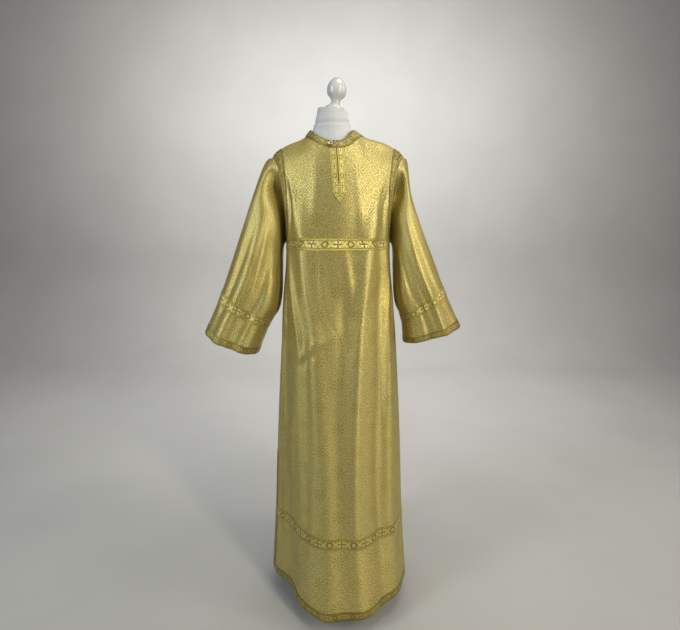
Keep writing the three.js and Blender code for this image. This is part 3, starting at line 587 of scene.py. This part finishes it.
# ---- Cap of the dress form ----
# A turned wooden finial stands on the sloping top of the neck and leans with it: a foot, a slim throat
# and an egg. It is lacquered white.
CAP_X, CAP_GAP = -9, 0.5
CAP = [
    # height, radius
    (0, 28), (3, 29), (9, 27.5), (15, 20), (21, 14), (27, 13.5), (33, 18), (41, 25.5), (51, 28.5), (60, 28.5),
    (70, 26), (79, 20.5), (86, 12.5), (88.6, 6), (89, 1),
]
heights = np.concatenate([np.linspace(0, 84, 43), [85.5, 86.7, 87.6, 88.3, 88.75, 89]])
cap = turned("form_finial", [(27.2, 0)] + [(float(read_table(CAP, h)[0]), h) for h in heights[1:]], 72)
foot = Vector((CAP_X, 0, NECK_TOP["z"] + NECK_TOP["slope"] * CAP_X + CAP_GAP)) / 1000
cap.data.transform(Matrix.Translation(foot) @ Matrix.Rotation(-math.atan(NECK_TOP["slope"]), 4, "Y"))
lacquer = Finish("white_lacquer", Coat_Weight=0.35, Coat_Roughness=0.12)
dust = lacquer.noise(26, 4.0).ramp(0.45, 0.8)
lacquer.feed("Base Color", lacquer.mix(dust, (0.50, 0.505, 0.50), (0.43, 0.435, 0.43)))
lacquer.feed("Roughness", 0.26 + 0.16 * dust)
lacquer.bump(lacquer.noise(220), 0.0002, 0.2)
cap.data.materials.append(lacquer.material)
stand_for(cap, "form_cap")

# ---- Yokes ----
# The shoulders of the vestment, one panel in front and one behind, of gold and beige silk brocade with
# a small eight-spoked rosette in each diamond. They are seamed along the shoulders and at the chest.
WALL = 1.1
PRESSED = 0.9  # how far seams are pressed in
THIRD = 1 / 3
SLIT_HALF = 0.9


def outward(grid, flip):
    """Unit normals of a grid of points."""
    along = np.gradient(grid, axis=1)
    down = np.gradient(grid, axis=0)
    return unit(np.cross(down, along) * (-1 if flip else 1))


def lengths(grid, axis):
    """Distance in metres from the first row or column of a grid."""
    steps = np.linalg.norm(np.diff(grid, axis=axis), axis=-1) / 1000
    start = np.zeros_like(np.take(steps, [0], axis=axis))
    return np.concatenate([start, np.cumsum(steps, axis=axis)], axis=axis)


CELLS = 48
LATTICE = np.linspace(0, 1, CELLS + 1)
yoke_maps = {}
for side in (FRONT, BACK):
    lattice = yoke_point(side, 1, LATTICE[None, :], LATTICE[:, None], folded=False)
    yoke_maps[side] = (lengths(lattice * (1, 1, 0), 1), lengths(lattice[::-1], 0)[::-1])


def yoke_uv(side, hand, s, t):
    """How far a point of the cloth lies from the centre and above the chest seam, in metres."""
    found = []
    a, b = np.clip(t, 0, 1) * CELLS, np.clip(s, 0, 1) * CELLS
    i, j = np.minimum(a.astype(int), CELLS - 1), np.minimum(b.astype(int), CELLS - 1)
    for table in yoke_maps[side]:
        upper = lerp(table[i, j], table[i, j + 1], b - j)
        lower = lerp(table[i + 1, j], table[i + 1, j + 1], b - j)
        found.append(lerp(upper, lower, a - i))
    return np.stack([hand * found[0], found[1]], -1)


def open_slit(p, hand, c, more=0.0):
    """Draws the cloth aside at the slit, and the braids a little more."""
    share = smooth((p[..., 2] - PLACKET_OPEN_Z) / 9) * np.clip(1 - c, 0, 1)
    p[..., 0] += hand * (SLIT_HALF * share + more)


def yoke_grid(side, hand, c, r):
    """Points and UV map of part of the yoke, the slit of the placket opened a little."""
    c, r = np.broadcast_arrays(c[None, :], r[:, None])
    s, t = yoke_way(side, c, r)
    p = yoke_point(side, hand, s, t)
    if side == FRONT:
        open_slit(p, hand, c)
    p[..., 1] = np.where(c >= COLUMNS[side] - 1e-6, side * SEAM, p[..., 1])
    p[..., 2] -= bell((COLUMNS[side] - c) / 0.35) * PRESSED
    return p, yoke_uv(side, hand, s, t)


brocade = Finish("gold_brocade", Anisotropic=0.5, Anisotropic_Rotation=0.25)
u, v, _ = brocade.split(brocade.place("UV"))
u, v = u * 1000, v * 1000
HALF_ACROSS, HALF_DOWN, NET = 29.0, 34.0, 7.0  # a diamond of the net in mm, and its lines across


def woven(finish, u, v):
    """The light and the dark marks of the brocade: a net with dots in it, and rosettes of short spokes."""
    across, down = 2 * HALF_ACROSS, 2 * HALF_DOWN
    near_x, near_y = u.wrap(2 * across), v.wrap(2 * down)
    far_x, far_y = (u + across).wrap(2 * across), (v + down).wrap(2 * down)
    inside = (abs(near_x) / across + abs(near_y) / down) < 1
    x, y = far_x + (near_x - far_x) * inside, far_y + (near_y - far_y) * inside
    first, second = x / across + y / down, x / across - y / down
    reach = (x * x + y * y).math("SQRT")
    rim = abs(x) / across + abs(y) / down
    net = abs((first * NET).wrap(1)).math("MINIMUM", abs((second * NET).wrap(1)))
    cell = abs((first * NET + 0.5).wrap(1)) + abs((second * NET + 0.5).wrap(1))
    rose = 1 - reach.ramp(16.5, 18.5)
    ground = 1 - rose
    speck = finish.noise(290, 2.0, finish.place("UV")).ramp(0.36, 0.58)
    grit = finish.noise(250, 3.0, finish.place("UV")).ramp(0.5, 0.62)
    lines = (1 - net.ramp(0.07, 0.19)) * ground * (0.12 + 0.88 * speck)
    dots = ((1 - cell.ramp(0.2, 0.42)) * (1 - speck * 0.8)).highest(grit * 0.9) * ground
    frame_line = 1 - abs(rim - 0.965).ramp(0.008, 0.022)
    angle = y.math("ARCTAN2", x)
    spoke = abs(angle.wrap(math.pi / 4)) * reach
    between = abs((angle + math.pi / 8).wrap(math.pi / 4)) * reach
    dash = abs(reach.wrap(5.2)).ramp(0.5, 1.1)
    dark_spoke = (1 - spoke.ramp(0.5, 1.25)) * reach.ramp(1.5, 3) * rose
    barb = (1 - abs(between - 1.9).ramp(0.3, 0.9)) * reach.ramp(7, 9) * rose * (1 - dash) * 0.9
    light_spoke = (1 - between.ramp(0.6, 1.6)) * reach.ramp(2.5, 4) * rose * (0.35 + 0.65 * dash)
    light = (dots * 0.8).highest(light_spoke * 0.65)
    dark = (lines * 0.7).highest(frame_line * 0.35, dark_spoke * 0.8, barb * 0.8)
    return light.math("MINIMUM", 1), dark.math("MINIMUM", 1)


light, dark = woven(brocade, u, v)
place = brocade.place()
cloud = brocade.noise(5.5, 3.0, place).ramp(0.3, 0.7)
drawn = brocade.node("Mapping", {}, {"Vector": brocade.place("UV"), "Scale": (60, 900, 1)})
slub = brocade.noise(1.0, place=drawn)
base = brocade.mix(cloud, (0.37, 0.31, 0.080), (0.41, 0.32, 0.068))
base = brocade.mix(slub.ramp(0.35, 0.7) * 0.35, base, (0.60, 0.49, 0.17))
base = brocade.mix(dark * 0.7, base, (0.10, 0.08, 0.018))
base = brocade.mix(light * 0.62, base, (0.86, 0.77, 0.42))
brocade.feed("Base Color", base)
brocade.feed("Metallic", 0.64 + 0.18 * light - 0.15 * dark)
brocade.feed("Roughness", 0.49 - 0.09 * light + 0.12 * dark + 0.05 * slub)
threads = ((u + v) * 5.2).math("SINE") * 0.5 + ((u - v) * 7.9).math("SINE") * 0.35
brocade.bump(light * 1.0 - dark * 0.8 + threads * 0.25, 0.00022, 0.55)

yokes = {}
for side, name in SIDES:
    c = np.concatenate([np.linspace(0, 2, 9), np.arange(2 + THIRD, COLUMNS[side] + 0.01, THIRD)])
    r = np.concatenate([np.linspace(0, 1, 5), np.linspace(1, 2, 34)[1:], np.linspace(2, 3, 8)[1:]])
    grids = []
    for hand in (-1, 1):
        p, uv = yoke_grid(side, hand, c, r)
        on_chest = (c <= CHEST_COLUMNS[side] + 1e-6)
        p[-1, on_chest, 2] += SEAM
        grids.append((p, uv, side * hand > 0))
    yokes[side] = mesh_piece(f"brocade_yoke_{name}", grids, brocade, WALL)
    stand_for(yokes[side], f"yoke_{name}")

# ---- Skirt ----
# The long front and back of the vestment, cut with a flare, seamed at the sides down to the slits and
# hanging free below. The same brocade; the cloth falls from the chest in long soft folds.
SLIT_OPEN = 0.022
SLANT = 1.008  # the cloth's length for its drop


def slit_share(z):
    """How far the cloth draws back from the side below the top of the slit."""
    return 1 - SLIT_OPEN * smooth((SLIT_Z - z) / (SLIT_Z - HEM_Z))


def skirt_grid(side, u, z):
    """Points and UV map of part of the skirt, for rows of u and columns of z."""
    u, z = np.broadcast_arrays(u[None, :].astype(float), z[:, None].astype(float))
    p = ring_point(side, u * slit_share(z), z)
    at_seam = np.abs(u) > 1 - 1e-6
    p[..., 1] = np.where(at_seam, side * np.maximum(SEAM, side * p[..., 1]), p[..., 1])
    pressed = PRESSED * bell((1 - np.abs(u)) / 0.012) * smooth((z - SLIT_Z) / 30)
    p[..., 0] -= np.sign(u) * pressed
    return p


def skirt_uv(side, grid):
    """Lengths of the cloth from the middle column and down from the chest seam, in metres."""
    middle = grid.shape[1] // 2
    across = lengths(grid * (1, 1, 0), 1)
    across = across - across[:, middle:middle + 1]
    return np.stack([across, (grid[..., 2] - CHEST_Z) * SLANT / 1000], -1)


skirts = {}
u_row = np.linspace(-1, 1, 129)
z_row = np.concatenate([np.linspace(CHEST_Z - SEAM, 70, 138), [67, 64, 62, HEM_Z]])
for side, name in SIDES:
    p = skirt_grid(side, u_row, z_row)
    skirts[side] = mesh_piece(f"brocade_skirt_{name}", [(p, skirt_uv(side, p), side > 0)], brocade, WALL)
    stand_for(skirts[side], f"skirt_{name}")

# ---- Sleeves ----
# Wide hanging sleeves of the same brocade, sewn into the armholes. Empty, they fall from the shoulder
# tips, and their slack lies in long folds that fan out from the underarm to the cuff.
SLEEVES = {
    # v, outer x, outer z, inner x, inner z, front, back
    -1: [
        (0, 193, 1418, 155, 1174, 52, 52), (0.08, 216, 1398, 163, 1146, 47, 50),
        (0.2, 244, 1332, 168, 1100, 62, 56), (0.4, 287, 1216, 171, 1032, 76, 62),
        (0.6, 327, 1105, 182, 972, 82, 64), (0.78, 363, 1012, 212, 925, 84, 64),
        (1, 412, 905, 252, 832, 94, 64),
    ],
    1: [
        (0, 193, 1418, 155, 1174, 52, 52), (0.08, 203, 1386, 162, 1146, 47, 50),
        (0.2, 217, 1316, 167, 1100, 60, 56), (0.4, 252, 1218, 170, 1040, 72, 62),
        (0.6, 293, 1116, 177, 988, 78, 64), (0.78, 328, 1030, 196, 942, 78, 64),
        (1, 380, 921, 206, 866, 74, 62),
    ],
}
SLEEVE_FOLDS = [
    # v0, turn0, v1, turn1, half width in degrees, height
    (0.12, 40, 1, 30, 13, 6), (0.1, 78, 1, 66, 12, 9), (0.15, 112, 1, 100, 11, -8), (0.3, 135, 0.95, 130, 11, 8),
    (0.1, 250, 1, 262, 13, 9), (0.12, 295, 1, 305, 13, -7), (0.1, 330, 1, 335, 12, 6),
]
SLEEVE_CREASES = {
    -1: [
        (0.22, 60, 0.9, 48, 6, -4), (0.1, 96, 0.7, 88, 6, 4.5), (0.3, 20, 1, 12, 7, 3), (0.4, 122, 1, 116, 5, 3.5),
        (0.05, 150, 0.55, 146, 7, -4), (0.35, 84, 1, 80, 4, -2.6), (0.2, 222, 0.9, 236, 7, 3.6),
        (0.3, 278, 1, 286, 6, 3.4), (0.25, 345, 0.9, 352, 6, -2.6), (0.6, 164, 1, 158, 7, 3),
    ],
    1: [
        (0.12, 58, 0.8, 46, 6, 4.2), (0.2, 94, 0.95, 82, 5, -4), (0.35, 22, 1, 16, 7, 3),
        (0.08, 128, 0.6, 118, 6, 4.4), (0.3, 148, 0.9, 140, 6, -4), (0.5, 74, 1, 70, 4, 3),
        (0.15, 226, 0.8, 240, 7, 3.4), (0.3, 282, 1, 290, 6, 3), (0.3, 344, 1, 350, 6, -2.4),
        (0.65, 110, 1, 106, 5, 3),
    ],
}
SLEEVE_START, SLEEVE_BELOW, SLEEVE_OUT = 0.8, 1.2, 120
RECESS = 50
MID_ARM = (TIP_Z + CHEST_Z) / 2


def sleeve_fold(hand, v, turn):
    total = np.zeros(np.shape(v + turn))
    for v0, turn0, v1, turn1, width, height in SLEEVE_FOLDS + SLEEVE_CREASES[hand]:
        along = (v - v0) / (v1 - v0)
        away = (turn - lerp(turn0, turn1, along) + 540) % 360 - 180
        fade = smooth(along * 3)
        if v1 < 1 and (v0, turn0, v1, turn1, width, height) not in SLEEVE_FOLDS:
            fade = fade * (1 - smooth((along - 0.7) / 0.45))
        total = total + height * fade * bell(away / width)
    return total


def sleeve_point(hand, q, v):
    """q runs round the sleeve from the underarm, over the back, 0.5 at the outer edge, to the front."""
    q, v = np.broadcast_arrays(np.asarray(q, float), np.asarray(v, float))
    rise = np.clip(1 - np.abs(q - 0.5) * 2, 0, 1)  # 0 at the underarm and 1 at the top
    edges = []
    for side in (BACK, FRONT):
        c = CHEST_COLUMNS[side] + ARM_COLUMNS * rise
        s, t = yoke_way(side, c, np.full(c.shape, 3.0))
        edges.append(yoke_point(side, hand, s, t))
    behind = q < 0.5
    start = np.where(behind[..., None], *edges)
    angle = np.arccos(np.clip((start[..., 2] - MID_ARM) / (TIP_Z - MID_ARM), -1, 1))
    turn = np.where(behind, 2 * np.pi - angle, angle)
    outer_x, outer_z, inner_x, inner_z, front, back = read_table(SLEEVES[hand], v)
    cos, sin = np.cos(turn), np.sin(turn)
    reach = 1 + sleeve_fold(hand, v, np.degrees(turn)) * smooth(v / 0.15) / 90
    depth = np.where(sin > 0, front, back)
    own = np.stack([
        hand * ((outer_x + inner_x) / 2 + (outer_x - inner_x) / 2 * cos * lerp(1, reach, 0.4)),
        -depth * sin * reach, (outer_z + inner_z) / 2 + (outer_z - inner_z) / 2 * cos], -1)
    below = SLEEVE_BELOW * smooth((CHEST_Z + 15 - start[..., 2]) / 15) * (1 - smooth(v / 0.02))
    start = start + hand * np.stack([SLEEVE_START + SLEEVE_OUT * v + below, 0 * v, 0 * v], -1)
    p = lerp(start, own, smooth(v / 0.2)[..., None])
    # Behind the front edge of the armhole the cloth falls back in a deep trough, widest above.
    degrees = np.degrees(turn)
    down = smooth((degrees - 45) / 70)
    away = (v - lerp(0.085, 0.045, down)) / lerp(0.06, 0.04, down)
    sunk = smooth(v / 0.025) * bell(away) * np.clip(sin, 0, 1) ** 0.7
    p[..., 1] += RECESS * sunk * smooth((degrees - 30) / 50) * smooth((172 - degrees) / 22)
    return p


def sleeve_grid(hand, q, v):
    p = sleeve_point(hand, q[None, :], v[:, None])
    middle = len(q) // 2
    across, down = lengths(p, 1), lengths(p, 0)
    return p, np.stack([across - across[:, middle:middle + 1], down[-1:] - down], -1)


sleeves = {}
q_row = np.linspace(0, 1, 121)
v_row = np.concatenate([np.linspace(0, 0.2, 19), np.linspace(0.2, 0.985, 76)[1:], [0.991, 0.996, 1]])
for hand, name in HANDS:
    p, uv = sleeve_grid(hand, q_row, v_row)
    sleeves[hand] = mesh_piece(f"brocade_sleeve_{name}", [(p, uv, hand > 0)], brocade, WALL)
    stand_for(sleeves[hand], f"sleeve_{name}")

# ---- Galloon ----
# Woven gilt braid in two widths, sewn flat on the brocade with a stitch along each edge: crosses and
# round medallions with leaves between them, inside double border lines. At the free edges it is
# folded over the cloth.
LIFT, BRAID = 0.35, 0.85


def galloon_finish(name, width, period, tarnish_and_shade):
    finish = Finish(name, Sheen_Weight=0.05)
    finish.width = width
    along, across, _ = finish.split(finish.place("UV"))
    along, across = along * 1000, across * 1000 - width / 2
    edge = abs(across) / (width / 2)
    field = 1 - edge.ramp(0.60, 0.64)
    lines = (1 - abs(edge - 0.66).ramp(0.03, 0.055)).highest(1 - abs(edge - 0.88).ramp(0.025, 0.05))
    half = width * 0.29
    x = along.wrap(period)
    far = (along + period / 2).wrap(period)
    leaf_x = (along + period / 4).wrap(period / 2)
    size_x, size_y = abs(x), abs(across)
    longer, shorter = size_x.highest(size_y), size_x.math("MINIMUM", size_y)
    arm = (1 - (shorter - longer * 0.16).ramp(half * 0.06, half * 0.16)) * (1 - longer.ramp(half * 0.86, half * 0.98))
    quarter = (1 - longer.ramp(half * 0.8, half * 0.92)) - arm
    reach = (far * far + across * across).math("SQRT")
    ring = 1 - abs(reach - half * 0.74).ramp(half * 0.13, half * 0.26)
    seed = 1 - reach.ramp(half * 0.2, half * 0.36)
    petal = (1 - abs(reach - half * 0.45).ramp(half * 0.08, half * 0.16)) * 0.6
    slant = abs(abs(leaf_x) - size_y)
    leaf = (1 - slant.ramp(half * 0.14, half * 0.3)) * (1 - abs(leaf_x).ramp(half * 0.72, half * 0.86))
    light = (quarter * 0.95).highest(leaf * 0.9, petal, seed * 0.5) * field
    dark = ((arm * 0.95).highest(ring * 0.85) * field).highest(lines * 0.9)
    stitch = (1 - abs(edge - 0.955).ramp(0.02, 0.035)) * (abs(along.wrap(3.2)) < 1.1)
    ribs = (along * 7.5).math("SINE")
    wear = finish.noise(14, 4.0).ramp(0.35, 0.75)
    ground = finish.mix(wear, (0.60, 0.49, 0.10), (0.52, 0.42, 0.09))
    # Painted shade: this mask darkens the braid's ground and dims its light marks, for braids that lie in shade and
    # reflect dark at the edges.
    ground = finish.mix(tarnish_and_shade * (0.6 + 0.4 * wear), ground, (0.15, 0.115, 0.017))
    colour = finish.mix(field * 0.45, ground, (0.27, 0.205, 0.04))
    colour = finish.mix(dark * 0.85, colour, (0.09, 0.068, 0.014))
    colour = finish.mix(light * (0.75 - 0.4 * tarnish_and_shade), colour, (0.80, 0.71, 0.34))
    colour = finish.mix(stitch * 0.5, colour, (0.30, 0.22, 0.07))
    finish.feed("Base Color", colour)
    finish.feed("Metallic", 0.60 - 0.3 * dark + 0.1 * light)
    finish.feed("Roughness", 0.40 + 0.2 * dark + 0.06 * wear)
    finish.bump(light * 0.9 - dark * 0.7 + ribs * 0.22 - stitch * 0.8 - field * 0.3, 0.0004, 0.7)
    return finish


# The last number is painted shade: the edge braid is a fully darkened copy, the wide braid a slightly darkened one,
# the placket's braid is not darkened.
wide_galloon = galloon_finish("galloon_wide", WIDE, 74.0, 0.3)
narrow_galloon = galloon_finish("galloon_narrow", NARROW, 53.0, 0.0)
shaded_edge_galloon = galloon_finish("galloon_edge_painted_shade", NARROW, 53.0, 1.0)


def braid_piece(name, grids, finish, node, fold=()):
    """A braid on grids of points of the cloth under it, rows across the braid and columns along it.
    fold names the edges, first or last, where it is folded over the cloth."""
    laid = []
    for grid, flip in grids:
        normal = outward(grid, flip)
        run = lengths(grid, 1)
        run = run[len(grid) // 2][None, :] * np.ones((len(grid), 1))
        share = lengths(grid, 0)
        share = share / share[-1:] * (finish.width / 1000)
        out = grid + normal * (LIFT + BRAID)
        for edge in fold:
            i, j = (0, 1) if edge == "first" else (-1, -2)
            away = unit(grid[i] - grid[j])
            turn = [grid[i] + normal[i] * 0.5 + away * 0.9, grid[i] - normal[i] * 0.9 + away * 0.7]
            rim, runs = [share[i], share[i]], [run[0], run[0]]
            if edge == "first":
                out, share, run = (np.concatenate(pair) for pair in ((turn[::-1], out), (rim, share), (runs, run)))
            else:
                out, share, run = (np.concatenate(pair) for pair in ((out, turn), (share, rim), (run, runs)))
        laid.append((out, np.stack([run, share], -1), flip))
    piece = mesh_piece(name, laid, finish, BRAID, angle=55)
    stand_for(piece, node)
    return piece


# ---- Braid of the neck and the placket ----
# One narrow braid goes round the neck from slit to slit. Two more run down beside the slit of the
# placket and are cut to a point together below it.
def yoke_run(side, hand, c, r):
    return yoke_grid(side, hand, c, r)[0]


r_neck = np.linspace(0, 1, 6)
round_neck = np.concatenate([
    yoke_run(side, hand, np.linspace(0, COLUMNS[side], 73)[::way], r_neck)[:, first:]
    for side, hand, way, first in ((FRONT, -1, 1, 0), (BACK, -1, -1, 1), (BACK, 1, 1, 1), (FRONT, 1, -1, 1))], axis=1)
neck_braid = braid_piece("galloon_neck", [(round_neck, True)], shaded_edge_galloon, "neck_trim", ["first"])

BRAID_END_Z, BRAID_TIP_Z = 1315, 1288
trial_r = np.linspace(1, 2, 400)
centre_z = yoke_run(FRONT, 1, np.array([0.0]), trial_r)[:, 0, 2]
END_R, TIP_R = (float(np.interp(-z, -centre_z, trial_r)) for z in (BRAID_END_Z, BRAID_TIP_Z))
for hand, name in HANDS:
    across = np.linspace(0, 1, 9)
    down = np.concatenate([np.linspace(1.012, END_R, 34), np.linspace(END_R, TIP_R, 14)[1:]])
    narrowing = 1 - np.clip((down - END_R) / (TIP_R - END_R), 0, 0.995)
    c = PLACKET_COLUMNS * across[:, None] * narrowing[None, :]
    s, t = yoke_way(FRONT, c, np.broadcast_to(down, c.shape))
    p = yoke_point(FRONT, hand, s, t)
    open_slit(p, hand, c, 0.15)
    braid_piece(
        f"galloon_placket_{name}", [(p, hand > 0)], narrow_galloon, f"placket_{name}")

# ---- Braid of the chest and the armholes ----
# A wide braid covers the chest seam all round. Narrow ones start above it at the underarm and go
# over each shoulder, close to the sleeve's seam.
chest_bands, r_band = {}, np.linspace(2, 3, 7)
for side, name in SIDES:
    c = np.linspace(0, CHEST_COLUMNS[side], 61)
    halves = [yoke_run(side, hand, c, r_band) for hand in (-1, 1)]
    upper = np.concatenate([halves[0][:, ::-1], halves[1][:, 1:]], axis=1)
    s, _ = yoke_way(side, c, np.full(c.shape, 3.0))
    share = ring_share(s)
    u_band = np.concatenate([-share[::-1], share[1:]])
    lower = skirt_grid(side, u_band, np.linspace(CHEST_Z, CHEST_Z - WIDE / 2, 7)[1:])
    band = np.concatenate([upper, lower])
    chest_bands[side] = braid_piece(
        f"galloon_chest_{name}", [(band, side > 0)], wide_galloon, f"chest_band_{name}")

for hand, name in HANDS:
    runs = []
    r_arm = np.linspace(2, 2.84, 6)
    for side in (FRONT, BACK):
        c = np.linspace(CHEST_COLUMNS[side] + 1, COLUMNS[side], 61)
        runs.append(yoke_run(side, hand, c, r_arm))
    strip = np.concatenate([runs[0], runs[1][:, ::-1][:, 1:]], axis=1)
    braid_piece(
        f"galloon_armhole_{name}", [(strip, hand < 0)], shaded_edge_galloon, f"armhole_trim_{name}")

# ---- Braid of the sleeves ----
# A wide band above the elbow's end and a narrow braid folded over the edge of each cuff.
sleeve_braids = {-1: [], 1: []}
for hand, name in HANDS:
    for kind, node, v0, v1, finish, fold in (
            ("band", "sleeve_band", 0.735, 0.805, wide_galloon, []),
            ("cuff", "cuff", 0.955, 1.0, shaded_edge_galloon, ["last"])):
        p, _ = sleeve_grid(hand, q_row, np.linspace(v0, v1, 8))
        sleeve_braids[hand].append(braid_piece(
            f"galloon_{kind}_{name}", [(p, hand > 0)], finish, f"{node}_{name}", fold))

# ---- Braid of the hem and the side slits ----
# A narrow braid is folded over the hem, and others run down both edges of each slit. A wide band
# goes round above them, from slit to slit.
HEM_BAND_Z, BAND_END, SLIT_BRAID = 281, 0.921, 0.925
skirt_braids = {FRONT: [], BACK: []}
for side, name in SIDES:
    levels = np.linspace(HEM_BAND_Z + WIDE / 2, HEM_BAND_Z - WIDE / 2, 10)
    band = skirt_grid(side, np.linspace(-BAND_END, BAND_END, 121), levels)
    hem = skirt_grid(side, np.linspace(-1, 1, 129), np.linspace(HEM_Z + NARROW + 2, HEM_Z, 7))
    skirt_braids[side] += [
        braid_piece(f"galloon_band_{name}", [(band, side > 0)], wide_galloon, f"hem_band_{name}"),
        braid_piece(f"galloon_hem_{name}", [(hem, side > 0)], shaded_edge_galloon, f"hem_trim_{name}", ["last"]),
    ]
    for hand, hand_name in HANDS:
        strip = skirt_grid(side, hand * np.linspace(SLIT_BRAID, 1, 7), np.linspace(SLIT_Z, HEM_Z + NARROW + 4, 72))
        strip = np.swapaxes(strip, 0, 1)
        skirt_braids[side].append(braid_piece(
            f"galloon_slit_{name}_{hand_name}", [(strip, side * hand < 0)], shaded_edge_galloon,
            f"slit_trim_{name}_{hand_name}", ["last"]))

# ---- Button ----
# A small gilt ring button with a dished middle, sewn on the braid at the wearer's right of the slit.
BUTTON = [
    # radius, height
    (2.6, 0), (3, 0.5), (3.1, 1.4), (5.4, 1.7), (6.3, 2.2), (6.7, 3.1), (6.6, 4.1), (6.1, 4.9), (5.3, 5.3),
    (4.5, 5.1), (3.9, 4.5), (3.5, 3.7), (2.8, 3.3), (1.6, 3.2), (0.4, 3.2),
]
corners = yoke_run(FRONT, -1, np.array([1.0, 2.0]), np.array([0.0, 1.0]))
middle = corners.reshape(4, 3).mean(0)
out = np.cross(corners[0, 1] - corners[0, 0], corners[1, 0] - corners[0, 0])
out = out / np.linalg.norm(out) * (-1 if out[1] > 0 else 1)
button = turned("gilt_button", BUTTON, 40)
turn = Vector((0, 0, 1)).rotation_difference(Vector(out)).to_matrix().to_4x4()
seat = Vector((middle + out * (LIFT + BRAID + 0.5)) / 1000)
button.data.transform(Matrix.Translation(seat) @ turn)
gilt = Finish("gilt", Metallic=0.95)
# On the button this mask is only tarnish, random over the gilt, with no painted shade.
tarnish_and_shade = gilt.noise(420, 3.0).ramp(0.4, 0.7)
gilt.feed("Base Color", gilt.mix(tarnish_and_shade, (0.62, 0.50, 0.24), (0.36, 0.27, 0.11)))
gilt.feed("Roughness", 0.32 + 0.2 * tarnish_and_shade)
gilt.bump(tarnish_and_shade, 0.0001, 0.4)
button.data.materials.append(gilt.material)
stand_for(button, "button")

# ---- Floor, light and camera ----
# A plain pale floor that turns up behind the object. Tall soft lights stand at both sides in front,
# weaker ones light the top and the back, and one washes the ground behind the object.
run = [(-4.0, 0.0)] + [(2.2 + 0.9 * math.sin(a), 0.9 - 0.9 * math.cos(a)) for a in np.linspace(0, math.pi / 2, 13)]
run.append((3.1, 5.0))
verts = [(x, y, z) for y, z in run for x in (-6.0, 6.0)]
faces = [(2 * i, 2 * i + 1, 2 * i + 3, 2 * i + 2) for i in range(len(run) - 1)]
floor_mesh = bpy.data.meshes.new("floor")
floor_mesh.from_pydata(verts, [], faces)
floor_mesh.polygons.foreach_set("use_smooth", [True] * len(floor_mesh.polygons))
floor = add_object("floor", floor_mesh)
plaster = Finish("pale_floor", Roughness=0.8)
cloud = plaster.noise(2.2, 3.0)
plaster.feed("Base Color", plaster.mix(cloud.ramp(0.3, 0.7), (0.352, 0.347, 0.337), (0.37, 0.365, 0.355)))
floor_mesh.materials.append(plaster.material)

world = bpy.data.worlds.new("room")
bpy.context.scene.world = world
world.use_nodes = True
sky = world.node_tree.nodes["Background"].inputs
sky["Color"].default_value = (0.82, 0.81, 0.80, 1)
sky["Strength"].default_value = 0.17
for name, spot, aim, size, power, colour in (
        ("window", (-2.1, -1.3, 2.0), (0, 0, 1.3), (0.6, 1.8), 37, (0.90, 0.97, 1.0)),
        ("key", (1.5, -1.9, 1.75), (0, 0, 1.2), (0.26, 2.0), 43, (1.0, 0.94, 0.78)),
        ("side", (2.3, -0.7, 1.9), (0, 0, 1.2), (0.6, 1.6), 20, (1.0, 0.95, 0.84)),
        ("top", (0.5, -0.4, 3.0), (0, 0, 1.4), (1.2, 1.0), 19, (1.0, 0.98, 0.95)),
        ("behind", (0.5, 2.4, 2.2), (0, 0, 1.2), (2.2, 2.0), 16, (1.0, 1.0, 1.0)),
        ("wash", (0.0, 1.2, 2.6), (0, 3.1, 1.3), (3.0, 0.8), 94, (1.0, 1.0, 0.98))):
    light = bpy.data.lights.new(name, "AREA")
    light.shape, light.size, light.size_y = "RECTANGLE", *size
    light.energy, light.color = power, colour
    lamp = add_object(name, light)
    lamp.location = spot
    lamp.rotation_euler = (Vector(aim) - Vector(spot)).to_track_quat("-Z", "Y").to_euler()

camera = bpy.data.cameras.new("camera")
camera.lens, camera.sensor_width = 24.09, 36
viewpoint = add_object("camera", camera)
viewpoint.location = (0.006, -1.396, 1.246)
viewpoint.rotation_euler = (math.radians(78), 0, 0)
bpy.context.scene.camera = viewpoint
bpy.context.scene.view_settings.view_transform = "Standard"
